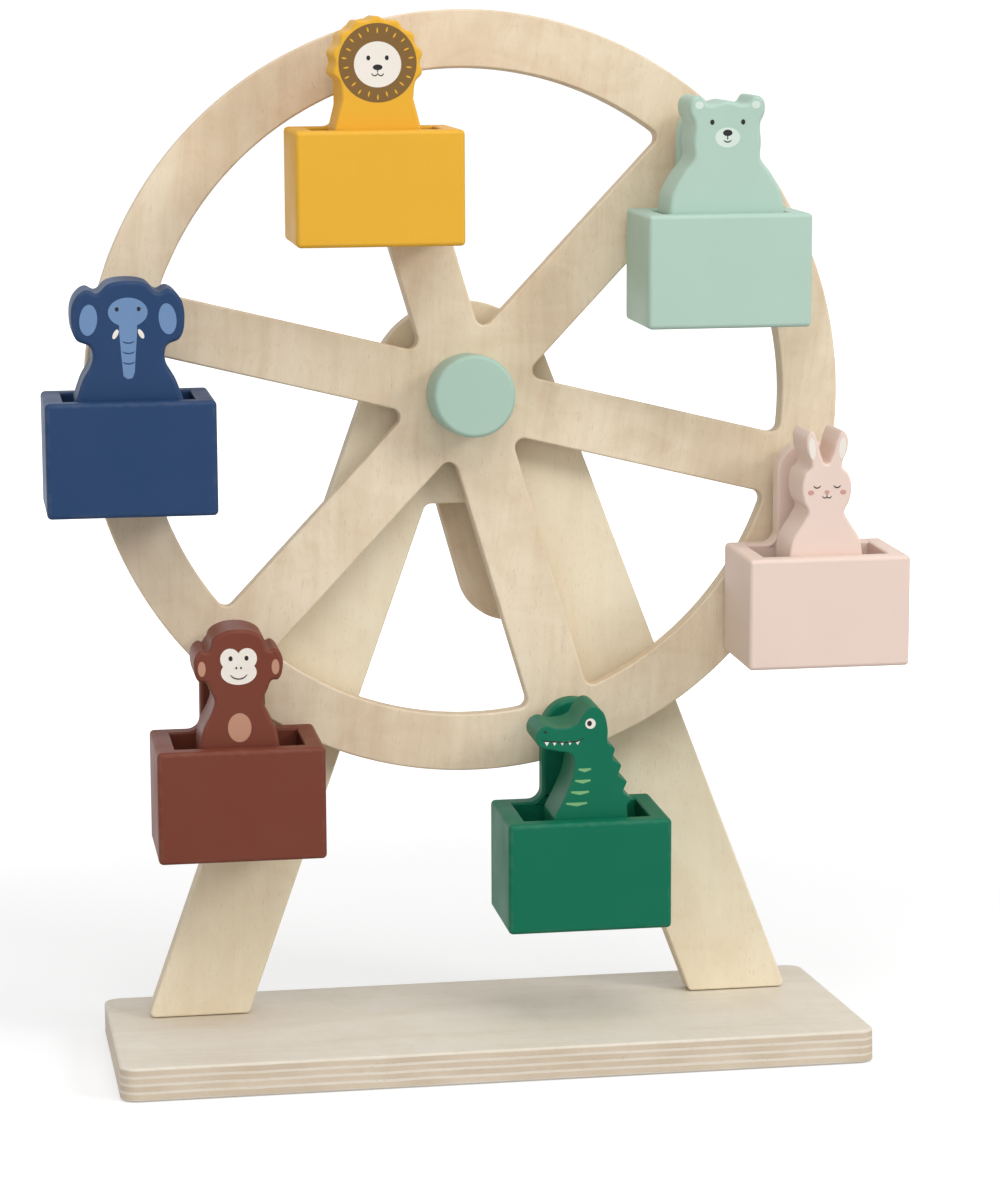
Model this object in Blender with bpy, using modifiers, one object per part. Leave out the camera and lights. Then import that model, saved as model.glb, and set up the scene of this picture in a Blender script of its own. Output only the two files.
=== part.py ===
"""Hand-crank ferris wheel toy: a plywood wheel on an A-shaped stand, with six hanging boxes.

The model is in metres with +Z up and its front towards -Y. The origin is the middle of the
base board's underside. Turned and flat pieces that move have their origin, or the empty that
carries them, on the axis that they turn about.
"""
import math

import bmesh
import bpy
from mathutils import Matrix, Vector

MM = 0.001

# Clearances
FIT_GAP = 0.3 * MM
RUNNING_CLEARANCE = 0.09 * MM
CUT_OVERRUN = 2.0 * MM

# Base board
BASE_LENGTH = 300.0 * MM
BASE_DEPTH = 128.2 * MM
BASE_THICKNESS = 13.4 * MM
BASE_CORNER_RADIUS = 7.0 * MM
BASE_EDGE = 1.0 * MM

# Stand frame, a flat plywood A
FRAME_SETBACK = 21.0 * MM
FRAME_THICKNESS = 12.0 * MM
FRAME_CROWN_RADIUS = 37.6 * MM
FRAME_FOOT_REACH = 133.7 * MM
FRAME_LEG_WIDTH = 38.7 * MM
FRAME_CROTCH_DROP = 45.2 * MM
FRAME_CROTCH_RADIUS = 3.5 * MM
FRAME_FOOT_RADIUS = 2.0 * MM
FRAME_EDGE = 0.8 * MM

# Axle, and the wheel that it carries. The wheel is as large as lets the lowest box pass over
# the base board with the sweep clearance
AXLE_HEIGHT = 266.8 * MM
AXLE_RADIUS = 6.0 * MM
SWEEP_CLEARANCE = 37.3 * MM
WHEEL_GAP = 4.1 * MM
WHEEL_THICKNESS = 10.0 * MM
RIM_WIDTH = 23.0 * MM
SPOKE_WIDTH = 24.8 * MM
WINDOW_CORNER_RADIUS = 3.7 * MM
WHEEL_EDGE = 0.8 * MM
FIRST_SPOKE_ANGLE = math.radians(-13.9)
HUB_CAP_RADIUS = 16.5 * MM
HUB_CAP_LENGTH = 22.5 * MM
HUB_CAP_EDGE = 1.8 * MM
HUB_BORE_DEPTH = 14.0 * MM
WHEEL_SPACER_RADIUS = 15.0 * MM

# Crank behind the stand
CRANK_GAP = 3.0 * MM
CRANK_THICKNESS = 9.0 * MM
CRANK_LENGTH = 78.0 * MM
CRANK_HALF_WIDTH = 20.4 * MM
CRANK_ANGLE = math.radians(-74.7)
CRANK_EDGE = 0.8 * MM
CRANK_SPACER_RADIUS = 14.0 * MM
CRANK_SCREW_HEAD_RADIUS = 4.6 * MM
CRANK_SCREW_HEAD_HEIGHT = 2.4 * MM
CRANK_SCREW_RADIUS = 2.0 * MM
CRANK_SCREW_LENGTH = 18.0 * MM
KNOB_LENGTH = 26.0 * MM
KNOB_RADIUS = 11.5 * MM
KNOB_END_RADIUS = 9.4 * MM
KNOB_EDGE = 1.6 * MM
KNOB_AIR = 0.6 * MM
KNOB_BOLT_RADIUS = 2.5 * MM
KNOB_BOLT_HEAD_RADIUS = 4.4 * MM
KNOB_BOLT_HEAD_HEIGHT = 2.4 * MM
KNOB_BOLT_RECESS = 3.4 * MM
KNOB_BOLT_GRIP = 6.5 * MM

# Screws that hold the stand's feet, driven up through the base
SCREW_RADIUS = 1.8 * MM
SCREW_HEAD_RADIUS = 3.6 * MM
SCREW_HEAD_HEIGHT = 2.2 * MM
SCREW_SINK = 0.6 * MM
SCREW_BITE = 18.0 * MM
SCREW_PITCH = 17.0 * MM

# Boxes that hang on the wheel
LEAN = math.radians(4.1)
TUB_WIDTH = 66.0 * MM
TUB_HEIGHT = 44.9 * MM
TUB_DEPTH = 46.4 * MM
TUB_DROP = 29.1 * MM
TUB_FRONT_WALL = 7.0 * MM
TUB_SIDE_WALL = 7.5 * MM
TUB_FLOOR = 10.0 * MM
TUB_EDGE = 1.8 * MM
TUB_CLEARANCE = 0.5 * MM
HANGER_THICKNESS = 8.6 * MM
HANGER_HALF_WIDTH = 13.0 * MM
HANGER_FILLET = 5.0 * MM
HANGER_EDGE = 0.8 * MM

# Pegs that the boxes hang on
PEG_RADIUS = 4.0 * MM
PEG_HEAD_RADIUS = 7.0 * MM
PEG_HEAD_HEIGHT = 2.8 * MM
PEG_HEAD_EDGE = 0.7 * MM
PEG_PLAY = 0.2 * MM

# Animal figures that stand in the boxes
FIGURE_THICKNESS = 24.0 * MM
FIGURE_PLAY = 0.5 * MM
FIGURE_RISE = 46.0 * MM
FIGURE_EDGE = 0.8 * MM

# Roundness of the turned and cut pieces
WHEEL_STEPS = 78
AXLE_STEPS = 24
PEG_STEPS = 18
SCREW_STEPS = 12
CORNER_STEPS = 3
CROWN_STEPS = 12
CURVE_STEPS = 3
SCREW_TIP_SHARE = 0.4
KNOB_BELLY_SHARES = (0.62, 0.38)
WELD = 0.005 * MM

# Places that follow from the sizes above
BASE_TOP = BASE_THICKNESS + FIT_GAP
FRAME_BACK = FRAME_SETBACK + FRAME_THICKNESS
WHEEL_BACK = FRAME_SETBACK - WHEEL_GAP
WHEEL_FRONT = WHEEL_BACK - WHEEL_THICKNESS
CRANK_FRONT = FRAME_BACK + CRANK_GAP
CRANK_BACK = CRANK_FRONT + CRANK_THICKNESS
PEG_CIRCLE_RADIUS = AXLE_HEIGHT - BASE_THICKNESS - SWEEP_CLEARANCE - TUB_DROP - TUB_HEIGHT
WHEEL_RADIUS = PEG_CIRCLE_RADIUS + RIM_WIDTH / 2
POCKET_HALF_WIDTH = TUB_WIDTH / 2 - TUB_SIDE_WALL
PIVOT_Y = (WHEEL_FRONT - TUB_CLEARANCE - HANGER_THICKNESS / 2 * math.cos(LEAN)
           - (TUB_DROP + TUB_HEIGHT) * math.sin(LEAN))

# Colours and finishes: colour, roughness, metallic
FINISHES = {
    "birch_ply": ((0.76, 0.64, 0.47), 0.55, 0.0),
    "birch_dowel": ((0.72, 0.58, 0.40), 0.55, 0.0),
    "steel": ((0.60, 0.60, 0.62), 0.35, 1.0),
    "pink": ((0.81, 0.64, 0.56), 0.5, 0.0),
    "mint": ((0.43, 0.60, 0.50), 0.5, 0.0),
    "yellow": ((0.80, 0.44, 0.06), 0.5, 0.0),
    "navy": ((0.030, 0.064, 0.147), 0.5, 0.0),
    "brown": ((0.18, 0.058, 0.036), 0.5, 0.0),
    "green": ((0.012, 0.165, 0.091), 0.5, 0.0),
}

# Figures, in the order of the pegs, anticlockwise seen from the front. Outline points run up
# the right side from the box's rim: shares of the figure's half width and of its rise, and
# whether the outline has a corner there. A mirrored figure has its left side from its right.
FIGURES = {
    "pink": {
        "animal": "rabbit", "mirrored": True, "half_width_share": 0.59, "rise_share": 1.08,
        "outline_shares": [
            (1.00, 0.00, True), (0.92, 0.12, False), (0.62, 0.27, False), (0.50, 0.345, False),
            (0.62, 0.43, False), (0.68, 0.54, False), (0.60, 0.65, False), (0.42, 0.715, False),
            (0.56, 0.86, False), (0.54, 0.965, False), (0.42, 1.00, False), (0.27, 0.93, False),
            (0.15, 0.80, False), (0.00, 0.735, False)],
    },
    "mint": {
        "animal": "bear", "mirrored": True, "half_width_share": 0.915, "rise_share": 1.0,
        "outline_shares": [
            (1.00, 0.00, True), (0.95, 0.16, False), (0.76, 0.34, False), (0.585, 0.46, False),
            (0.59, 0.60, False), (0.575, 0.76, False), (0.65, 0.86, False), (0.61, 0.97, False),
            (0.46, 0.995, False), (0.34, 0.93, False), (0.00, 0.955, False)],
    },
    "yellow": {
        "animal": "lion", "mirrored": True, "half_width_share": 0.70, "rise_share": 0.95,
        "outline_shares": [
            (0.95, 0.00, True), (0.87, 0.13, False), (0.78, 0.27, True)],
        "mane_rise_share": 0.585, "mane_lobes": 14, "mane_depth_share": 0.075,
    },
    "navy": {
        "animal": "elephant", "mirrored": True, "half_width_share": 0.857, "rise_share": 1.0,
        "outline_shares": [
            (0.95, 0.00, True), (0.82, 0.17, False), (0.64, 0.34, False), (0.68, 0.45, False),
            (0.91, 0.51, False), (1.00, 0.67, False), (0.93, 0.85, False), (0.72, 0.93, False),
            (0.54, 0.90, False), (0.34, 0.975, False), (0.00, 1.00, False)],
    },
    "brown": {
        "animal": "monkey", "mirrored": True, "half_width_share": 0.68, "rise_share": 1.01,
        "outline_shares": [
            (0.90, 0.00, True), (0.82, 0.15, False), (0.62, 0.30, False), (0.56, 0.39, False),
            (0.66, 0.49, False), (0.75, 0.555, False), (0.90, 0.565, False), (1.00, 0.66, False),
            (0.97, 0.78, False), (0.83, 0.83, False), (0.70, 0.82, False), (0.56, 0.93, False),
            (0.30, 0.985, False), (0.00, 1.00, False)],
    },
    "green": {
        "animal": "crocodile", "mirrored": False, "half_width_share": 0.80, "rise_share": 0.98,
        "outline_shares": [
            (0.80, 0.00, True), (0.78, 0.10, True), (0.90, 0.16, True), (0.70, 0.22, True),
            (0.80, 0.32, True), (0.60, 0.37, True), (0.69, 0.47, True), (0.49, 0.52, True),
            (0.56, 0.62, True), (0.40, 0.67, True), (0.40, 0.82, False), (0.30, 0.955, False),
            (0.10, 1.00, False), (-0.08, 0.93, False), (-0.20, 0.85, False),
            (-0.55, 0.815, False), (-0.84, 0.84, False), (-1.00, 0.77, False),
            (-0.97, 0.67, False), (-0.62, 0.615, False), (-0.30, 0.57, False),
            (-0.27, 0.43, False), (-0.44, 0.20, False), (-0.66, 0.00, True)],
    },
}

UPRIGHT = Matrix.Rotation(math.radians(90), 4, "X")
FRONT_TO_BACK = Matrix.Rotation(math.radians(-90), 4, "X")


def clear_scene():
    """Remove what a new file holds."""
    for obj in list(bpy.data.objects):
        bpy.data.objects.remove(obj, do_unlink=True)


def new_collection(name):
    collection = bpy.data.collections.new(name)
    bpy.context.scene.collection.children.link(collection)
    return collection


def make_finishes():
    """One Principled material for each colour."""
    made = {}
    for name, (colour, roughness, metallic) in FINISHES.items():
        material = bpy.data.materials.new(name)
        material.use_nodes = True
        shader = material.node_tree.nodes["Principled BSDF"]
        shader.inputs["Base Color"].default_value = (*colour, 1.0)
        shader.inputs["Roughness"].default_value = roughness
        shader.inputs["Metallic"].default_value = metallic
        material.diffuse_color = (*colour, 1.0)
        made[name] = material
    return made


def arc(centre, radius, start, end, steps):
    """Points along an arc, both ends included."""
    points = []
    for step in range(steps + 1):
        angle = start + (end - start) * step / steps
        points.append(Vector((centre[0] + radius * math.cos(angle),
                              centre[1] + radius * math.sin(angle))))
    return points


def circle(centre, radius, steps):
    return arc(centre, radius, 0.0, 2 * math.pi, steps)[:-1]


def rounded(corners):
    """A closed outline from corners (x, y, radius, steps), with an arc at each rounded one."""
    points = []
    count = len(corners)
    for index, (x, y, radius, steps) in enumerate(corners):
        corner = Vector((x, y))
        if radius == 0.0:
            points.append(corner)
            continue
        before = (Vector(corners[index - 1][:2]) - corner).normalized()
        after = (Vector(corners[(index + 1) % count][:2]) - corner).normalized()
        half = before.angle(after) / 2
        centre = corner + (before + after).normalized() * radius / math.sin(half)
        start = corner + before * radius / math.tan(half) - centre
        end = corner + after * radius / math.tan(half) - centre
        start_angle = math.atan2(start.y, start.x)
        turn = math.atan2(end.y, end.x) - start_angle
        turn = (turn + math.pi) % (2 * math.pi) - math.pi
        points += arc(centre, radius, start_angle, start_angle + turn, steps)
    return points


def flat_mesh(name, outlines, thickness, smooth_points=None):
    """A welded mesh of flat outlines, as thick as asked, about its middle plane."""
    curve = bpy.data.curves.new(name, "CURVE")
    curve.dimensions = "2D"
    curve.fill_mode = "BOTH"
    curve.extrude = thickness / 2
    for outline in outlines:
        spline = curve.splines.new("POLY")
        spline.points.add(len(outline) - 1)
        for target, point in zip(spline.points, outline):
            target.co = (point[0], point[1], 0.0, 1.0)
        spline.use_cyclic_u = True
    if smooth_points:
        add_smooth_spline(curve, smooth_points)
    holder = bpy.data.objects.new(name + "_outline", curve)
    bpy.context.scene.collection.objects.link(holder)
    bpy.context.view_layer.update()
    evaluated = holder.evaluated_get(bpy.context.evaluated_depsgraph_get())
    mesh = bpy.data.meshes.new_from_object(evaluated)
    mesh.transform(holder.matrix_world)
    bpy.data.objects.remove(holder, do_unlink=True)
    bpy.data.curves.remove(curve)
    tidy_mesh(mesh)
    mesh.name = name
    return mesh


def add_smooth_spline(curve, points):
    """A closed Bezier outline through (x, y, corner) points."""
    spline = curve.splines.new("BEZIER")
    spline.resolution_u = CURVE_STEPS
    spline.bezier_points.add(len(points) - 1)
    for target, (x, y, is_corner) in zip(spline.bezier_points, points):
        target.co = (x, y, 0.0)
        handle = "VECTOR" if is_corner else "AUTO"
        target.handle_left_type = handle
        target.handle_right_type = handle
    spline.use_cyclic_u = True


def tidy_mesh(mesh):
    """Weld the caps, join their triangles and face every side outwards."""
    work = bmesh.new()
    work.from_mesh(mesh)
    bmesh.ops.remove_doubles(work, verts=work.verts, dist=WELD)
    bmesh.ops.dissolve_limit(work, angle_limit=math.radians(0.2), verts=work.verts,
                             edges=work.edges)
    bmesh.ops.recalc_face_normals(work, faces=work.faces)
    work.to_mesh(mesh)
    work.free()


def smooth(mesh):
    mesh.shade_smooth()
    mesh.set_sharp_from_angle(angle=math.radians(35))


def add_part(name, mesh, material, parent=None, location=(0.0, 0.0, 0.0)):
    """An object of the toy, in its collection, with its finish."""
    mesh.materials.clear()
    mesh.materials.append(material)
    smooth(mesh)
    obj = bpy.data.objects.new(name, mesh)
    PARTS.objects.link(obj)
    obj.parent = parent
    obj.location = location
    return obj


def add_edge(obj, width, segments=1):
    """Break an object's sharp edges."""
    bevel = obj.modifiers.new("edge", "BEVEL")
    bevel.width = width
    bevel.segments = segments
    bevel.limit_method = "ANGLE"
    bevel.angle_limit = math.radians(40)
    bevel.use_clamp_overlap = False
    return bevel


def add_axis(name, location, parent=None, lean=0.0):
    """An empty on a joint's axis."""
    axis = bpy.data.objects.new(name, None)
    PARTS.objects.link(axis)
    axis.parent = parent
    axis.location = location
    axis.rotation_euler = (lean, 0.0, 0.0)
    return axis


def turned_mesh(name, profile, steps, closed=False):
    """A mesh turned about the Z axis from (radius, height) points that run down its outside."""
    outline = bpy.data.meshes.new(name + "_profile")
    edges = [(index, index + 1) for index in range(len(profile) - 1)]
    if closed:
        edges.append((len(profile) - 1, 0))
    outline.from_pydata([(radius, 0.0, height) for radius, height in profile], edges, [])
    holder = bpy.data.objects.new(name + "_profile", outline)
    bpy.context.scene.collection.objects.link(holder)
    screw = holder.modifiers.new("turn", "SCREW")
    screw.axis = "Z"
    screw.steps = steps
    screw.render_steps = steps
    screw.use_merge_vertices = True
    screw.merge_threshold = WELD
    bpy.context.view_layer.update()
    evaluated = holder.evaluated_get(bpy.context.evaluated_depsgraph_get())
    mesh = bpy.data.meshes.new_from_object(evaluated)
    bpy.data.objects.remove(holder, do_unlink=True)
    bpy.data.meshes.remove(outline)
    tidy_mesh(mesh)
    mesh.name = name
    return mesh


def turned_part(name, profile, steps, material, parent, closed=False):
    """A turned piece along Y. Its profile's heights are places along Y, from back to front."""
    mesh = turned_mesh(name, profile, steps, closed)
    mesh.transform(FRONT_TO_BACK)
    return add_part(name, mesh, material, parent)


def ring_profile(inner, outer, front, back):
    """A plain ring's section, down its outside from the back."""
    return [(inner, back), (outer, back), (outer, front), (inner, front)]


def rounded_end(radius, end, edge, inward):
    """Profile points that round a turned end's rim. inward is +1 or -1 along the axis."""
    points = []
    for step in range(CORNER_STEPS):
        angle = math.pi / 2 * step / (CORNER_STEPS - 1)
        points.append((radius - edge + edge * math.sin(angle),
                       end + inward * edge * (1 - math.cos(angle))))
    return points


def build_base():
    """The base board, drilled for the screws."""
    half_length = BASE_LENGTH / 2
    half_depth = BASE_DEPTH / 2
    corners = []
    for x, y in ((1, 1), (-1, 1), (-1, -1), (1, -1)):
        corners.append((x * half_length, y * half_depth, BASE_CORNER_RADIUS, CORNER_STEPS + 1))
    mesh = flat_mesh("base_board", [rounded(corners)], BASE_THICKNESS)
    mesh.transform(Matrix.Translation((0.0, 0.0, BASE_THICKNESS / 2)))
    board = add_part("base_board", mesh, FINISH["birch_ply"])
    add_edge(board, BASE_EDGE)
    cutters = []
    for x, y in screw_places():
        cutters.append(add_cutter("screw_way", screw_way_mesh(), (x, y, 0.0)))
    cut(board, cutters)
    return board


def screw_places():
    """Where the screws stand, two under each foot, in the frame's middle plane."""
    run = foot_width()
    middle = FRAME_FOOT_REACH - run / 2
    y = FRAME_SETBACK + FRAME_THICKNESS / 2
    places = []
    for side in (-1, 1):
        for offset in (-0.5, 0.5):
            places.append((side * (middle + offset * SCREW_PITCH), y))
    return places


def screw_way_mesh():
    """A screw's hole through the base, with the countersink below."""
    head = SCREW_HEAD_RADIUS + FIT_GAP
    neck = SCREW_RADIUS + FIT_GAP
    top = BASE_THICKNESS + CUT_OVERRUN
    profile = [(0.0, top), (neck, top), (neck, SCREW_SINK + SCREW_HEAD_HEIGHT + FIT_GAP),
               (head, SCREW_SINK), (head, -CUT_OVERRUN), (0.0, -CUT_OVERRUN)]
    return turned_mesh("screw_way", profile, SCREW_STEPS)


def add_cutter(name, mesh, location, parent=None, rotation=(0.0, 0.0, 0.0)):
    """A wire shape that cuts another and isn't part of the toy."""
    obj = bpy.data.objects.new(name, mesh)
    CUTTERS.objects.link(obj)
    obj.parent = parent
    obj.location = location
    obj.rotation_euler = rotation
    obj.hide_render = True
    obj.display_type = "WIRE"
    return obj


def cut(obj, cutters):
    """Take the cutters out of an object."""
    for cutter in cutters:
        boolean = obj.modifiers.new("cut", "BOOLEAN")
        boolean.operation = "DIFFERENCE"
        boolean.solver = "EXACT"
        boolean.object = cutter


def build_base_screws():
    """Four countersunk screws, two up into each foot."""
    top = BASE_TOP + SCREW_BITE
    neck = SCREW_SINK + SCREW_HEAD_HEIGHT
    profile = [(0.0, top), (SCREW_RADIUS * SCREW_TIP_SHARE, top),
               (SCREW_RADIUS, top - SCREW_HEAD_HEIGHT), (SCREW_RADIUS, neck),
               (SCREW_HEAD_RADIUS, SCREW_SINK), (0.0, SCREW_SINK)]
    mesh = turned_mesh("base_screw", profile, SCREW_STEPS)
    for number, (x, y) in enumerate(screw_places(), start=1):
        add_part("base_screw_" + str(number), mesh, FINISH["steel"], location=(x, y, 0.0))


def leg_slope():
    """Horizontal run of a leg's edges for each metre of rise.

    The outer edges touch the crown's circle about the axle, and end at the feet.
    """
    rise = AXLE_HEIGHT - BASE_TOP
    reach = math.hypot(FRAME_FOOT_REACH, rise)
    angle = math.atan2(FRAME_FOOT_REACH, rise) - math.asin(FRAME_CROWN_RADIUS / reach)
    return math.tan(angle)


def foot_width():
    """A leg's width along the base, cut level at its foot."""
    return FRAME_LEG_WIDTH / math.cos(math.atan(leg_slope()))


def build_stand():
    """The A-shaped frame, with its axle hole and the screws' pilot holes."""
    slope = leg_slope()
    apex = BASE_TOP + FRAME_FOOT_REACH / slope
    inner_foot = FRAME_FOOT_REACH - foot_width()
    crotch = AXLE_HEIGHT - FRAME_CROTCH_DROP
    inner_top = inner_foot - (crotch - BASE_TOP) * slope
    foot = (FRAME_FOOT_RADIUS, CORNER_STEPS - 1)
    outline = rounded([
        (0.0, apex, FRAME_CROWN_RADIUS, CROWN_STEPS),
        (-FRAME_FOOT_REACH, BASE_TOP, *foot),
        (-inner_foot, BASE_TOP, *foot),
        (-inner_top, crotch, FRAME_CROTCH_RADIUS, CORNER_STEPS),
        (inner_top, crotch, FRAME_CROTCH_RADIUS, CORNER_STEPS),
        (inner_foot, BASE_TOP, *foot),
        (FRAME_FOOT_REACH, BASE_TOP, *foot)])
    hole = circle((0.0, AXLE_HEIGHT), AXLE_RADIUS + RUNNING_CLEARANCE, AXLE_STEPS)
    mesh = flat_mesh("stand_frame", [outline, hole], FRAME_THICKNESS)
    mesh.transform(UPRIGHT)
    frame = add_part("stand_frame", mesh, FINISH["birch_ply"])
    frame.location = (0.0, FRAME_SETBACK + FRAME_THICKNESS / 2, 0.0)
    add_edge(frame, FRAME_EDGE)
    pilot = [(0.0, BASE_TOP + SCREW_BITE + FIT_GAP),
             (SCREW_RADIUS + FIT_GAP, BASE_TOP + SCREW_BITE + FIT_GAP),
             (SCREW_RADIUS + FIT_GAP, BASE_TOP - CUT_OVERRUN), (0.0, BASE_TOP - CUT_OVERRUN)]
    cutters = []
    for x, y in screw_places():
        mesh = turned_mesh("screw_pilot", pilot, SCREW_STEPS)
        cutters.append(add_cutter("screw_pilot", mesh, (x, y, 0.0)))
    cut(frame, cutters)
    return frame


def window_outline(start):
    """The opening between the spoke at an angle and the next one."""
    inner = WHEEL_RADIUS - RIM_WIDTH
    half = SPOKE_WIDTH / 2
    radius = WINDOW_CORNER_RADIUS
    pitch = 2 * math.pi / len(FIGURES)
    reach = inner - radius
    rim_angle = math.asin((half + radius) / reach)
    first = (reach * math.cos(rim_angle), reach * math.sin(rim_angle))
    last = (reach * math.cos(pitch - rim_angle), reach * math.sin(pitch - rim_angle))
    valley = (half + radius) / math.sin(pitch / 2)
    middle = (valley * math.cos(pitch / 2), valley * math.sin(pitch / 2))
    points = arc(first, radius, -math.pi / 2, rim_angle, CORNER_STEPS)
    rim_steps = WHEEL_STEPS // len(FIGURES) - 2
    points += arc((0.0, 0.0), inner, rim_angle, pitch - rim_angle, rim_steps)[1:-1]
    points += arc(last, radius, pitch - rim_angle, pitch + math.pi / 2, CORNER_STEPS)
    points += arc(middle, radius, pitch + math.pi / 2, 3 * math.pi / 2, CORNER_STEPS)
    turn = Matrix.Rotation(start, 2)
    return [turn @ point for point in points]


def peg_angle(index):
    return FIRST_SPOKE_ANGLE + index * 2 * math.pi / len(FIGURES)


def peg_offset(index):
    """A peg's place from the axle, across the wheel and up."""
    angle = peg_angle(index)
    return Vector((PEG_CIRCLE_RADIUS * math.cos(angle), PEG_CIRCLE_RADIUS * math.sin(angle)))


def build_wheel(axis):
    """The wheel, in one piece with six spokes."""
    outlines = [circle((0.0, 0.0), WHEEL_RADIUS, WHEEL_STEPS)]
    for index in range(len(FIGURES)):
        outlines.append(window_outline(peg_angle(index)))
        outlines.append(circle(peg_offset(index), PEG_RADIUS + FIT_GAP, PEG_STEPS))
    outlines.append(circle((0.0, 0.0), AXLE_RADIUS + FIT_GAP, AXLE_STEPS))
    mesh = flat_mesh("wheel_disc", outlines, WHEEL_THICKNESS)
    mesh.transform(UPRIGHT)
    wheel = add_part("wheel_disc", mesh, FINISH["birch_ply"], axis)
    wheel.location = (0.0, WHEEL_FRONT + WHEEL_THICKNESS / 2, 0.0)
    add_edge(wheel, WHEEL_EDGE)
    return wheel


def build_axle(axis):
    """The axle with its hub cap, spacers and end screw."""
    cap_back = WHEEL_FRONT - FIT_GAP
    cap_front = WHEEL_FRONT - HUB_CAP_LENGTH
    bore = AXLE_RADIUS + FIT_GAP
    bore_front = cap_back - HUB_BORE_DEPTH
    rim = rounded_end(HUB_CAP_RADIUS, cap_front, HUB_CAP_EDGE, 1)
    profile = [(0.0, bore_front), (bore, bore_front), (bore, cap_back),
               (HUB_CAP_RADIUS, cap_back)] + rim[::-1] + [(0.0, cap_front)]
    turned_part("hub_cap", profile, AXLE_STEPS, FINISH["mint"], axis)

    axle_front = bore_front + FIT_GAP
    pilot = CRANK_SCREW_RADIUS + FIT_GAP
    pilot_front = CRANK_BACK - CRANK_SCREW_LENGTH - FIT_GAP
    profile = [(0.0, pilot_front), (pilot, pilot_front), (pilot, CRANK_BACK),
               (AXLE_RADIUS, CRANK_BACK), (AXLE_RADIUS, axle_front), (0.0, axle_front)]
    turned_part("axle", profile, AXLE_STEPS, FINISH["birch_dowel"], axis)

    profile = ring_profile(bore, WHEEL_SPACER_RADIUS, WHEEL_BACK + FIT_GAP,
                           FRAME_SETBACK - FIT_GAP)
    turned_part("wheel_spacer", profile, AXLE_STEPS, FINISH["birch_dowel"], axis, closed=True)
    profile = ring_profile(bore, CRANK_SPACER_RADIUS, FRAME_BACK + FIT_GAP,
                           CRANK_FRONT - FIT_GAP)
    turned_part("crank_spacer", profile, AXLE_STEPS, FINISH["birch_dowel"], axis, closed=True)

    head_front = CRANK_BACK + FIT_GAP
    head_back = head_front + CRANK_SCREW_HEAD_HEIGHT
    profile = [(0.0, head_back), (CRANK_SCREW_HEAD_RADIUS, head_back),
               (CRANK_SCREW_HEAD_RADIUS, head_front), (CRANK_SCREW_RADIUS, head_front),
               (CRANK_SCREW_RADIUS, CRANK_BACK - CRANK_SCREW_LENGTH),
               (0.0, CRANK_BACK - CRANK_SCREW_LENGTH)]
    turned_part("crank_screw", profile, PEG_STEPS, FINISH["steel"], axis)


def knob_offset():
    """The knob's place from the axle, across and up."""
    return Vector((CRANK_LENGTH * math.cos(CRANK_ANGLE), CRANK_LENGTH * math.sin(CRANK_ANGLE)))


def build_crank(axis):
    """The crank arm, its knob and the bolt that the knob turns on."""
    half = CRANK_HALF_WIDTH
    ends = CROWN_STEPS // 2
    outline = rounded([
        (-half, -half, half, ends), (CRANK_LENGTH + half, -half, half, ends),
        (CRANK_LENGTH + half, half, half, ends), (-half, half, half, ends)])
    holes = [circle((0.0, 0.0), AXLE_RADIUS + FIT_GAP, AXLE_STEPS)]
    mesh = flat_mesh("crank_arm", [outline] + holes, CRANK_THICKNESS)
    mesh.transform(UPRIGHT @ Matrix.Rotation(CRANK_ANGLE, 4, "Z"))
    arm = add_part("crank_arm", mesh, FINISH["birch_ply"], axis)
    arm.location = (0.0, CRANK_FRONT + CRANK_THICKNESS / 2, 0.0)
    add_edge(arm, CRANK_EDGE)

    place = knob_offset()
    knob_axis = add_axis("knob_axis", (place.x, 0.0, place.y), axis)
    grip_front = CRANK_BACK - KNOB_BOLT_GRIP
    hole = [(0.0, CRANK_BACK + CUT_OVERRUN), (KNOB_BOLT_RADIUS + FIT_GAP, CRANK_BACK + CUT_OVERRUN),
            (KNOB_BOLT_RADIUS + FIT_GAP, grip_front - FIT_GAP), (0.0, grip_front - FIT_GAP)]
    hole_mesh = turned_mesh("knob_bolt_hole", hole, SCREW_STEPS)
    hole_mesh.transform(FRONT_TO_BACK)
    cut(arm, [add_cutter("knob_bolt_hole", hole_mesh, (0.0, 0.0, 0.0), knob_axis)])

    knob_front = CRANK_BACK + KNOB_AIR
    knob_back = knob_front + KNOB_LENGTH
    recess = knob_back - KNOB_BOLT_RECESS
    head = KNOB_BOLT_HEAD_RADIUS + FIT_GAP
    bore = KNOB_BOLT_RADIUS + RUNNING_CLEARANCE
    belly = [(KNOB_RADIUS, knob_front + KNOB_LENGTH * share) for share in KNOB_BELLY_SHARES]
    profile = ([(bore, recess), (head, recess), (head, knob_back)]
               + rounded_end(KNOB_END_RADIUS, knob_back, KNOB_EDGE, -1) + belly
               + rounded_end(KNOB_END_RADIUS, knob_front, KNOB_EDGE, 1)[::-1]
               + [(bore, knob_front)])
    turned_part("crank_knob", profile, PEG_STEPS, FINISH["mint"], knob_axis, closed=True)

    head_front = recess + FIT_GAP
    head_back = head_front + KNOB_BOLT_HEAD_HEIGHT
    profile = [(0.0, head_back), (KNOB_BOLT_HEAD_RADIUS, head_back),
               (KNOB_BOLT_HEAD_RADIUS, head_front), (KNOB_BOLT_RADIUS, head_front),
               (KNOB_BOLT_RADIUS, grip_front), (0.0, grip_front)]
    turned_part("knob_bolt", profile, SCREW_STEPS, FINISH["steel"], knob_axis)


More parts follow.
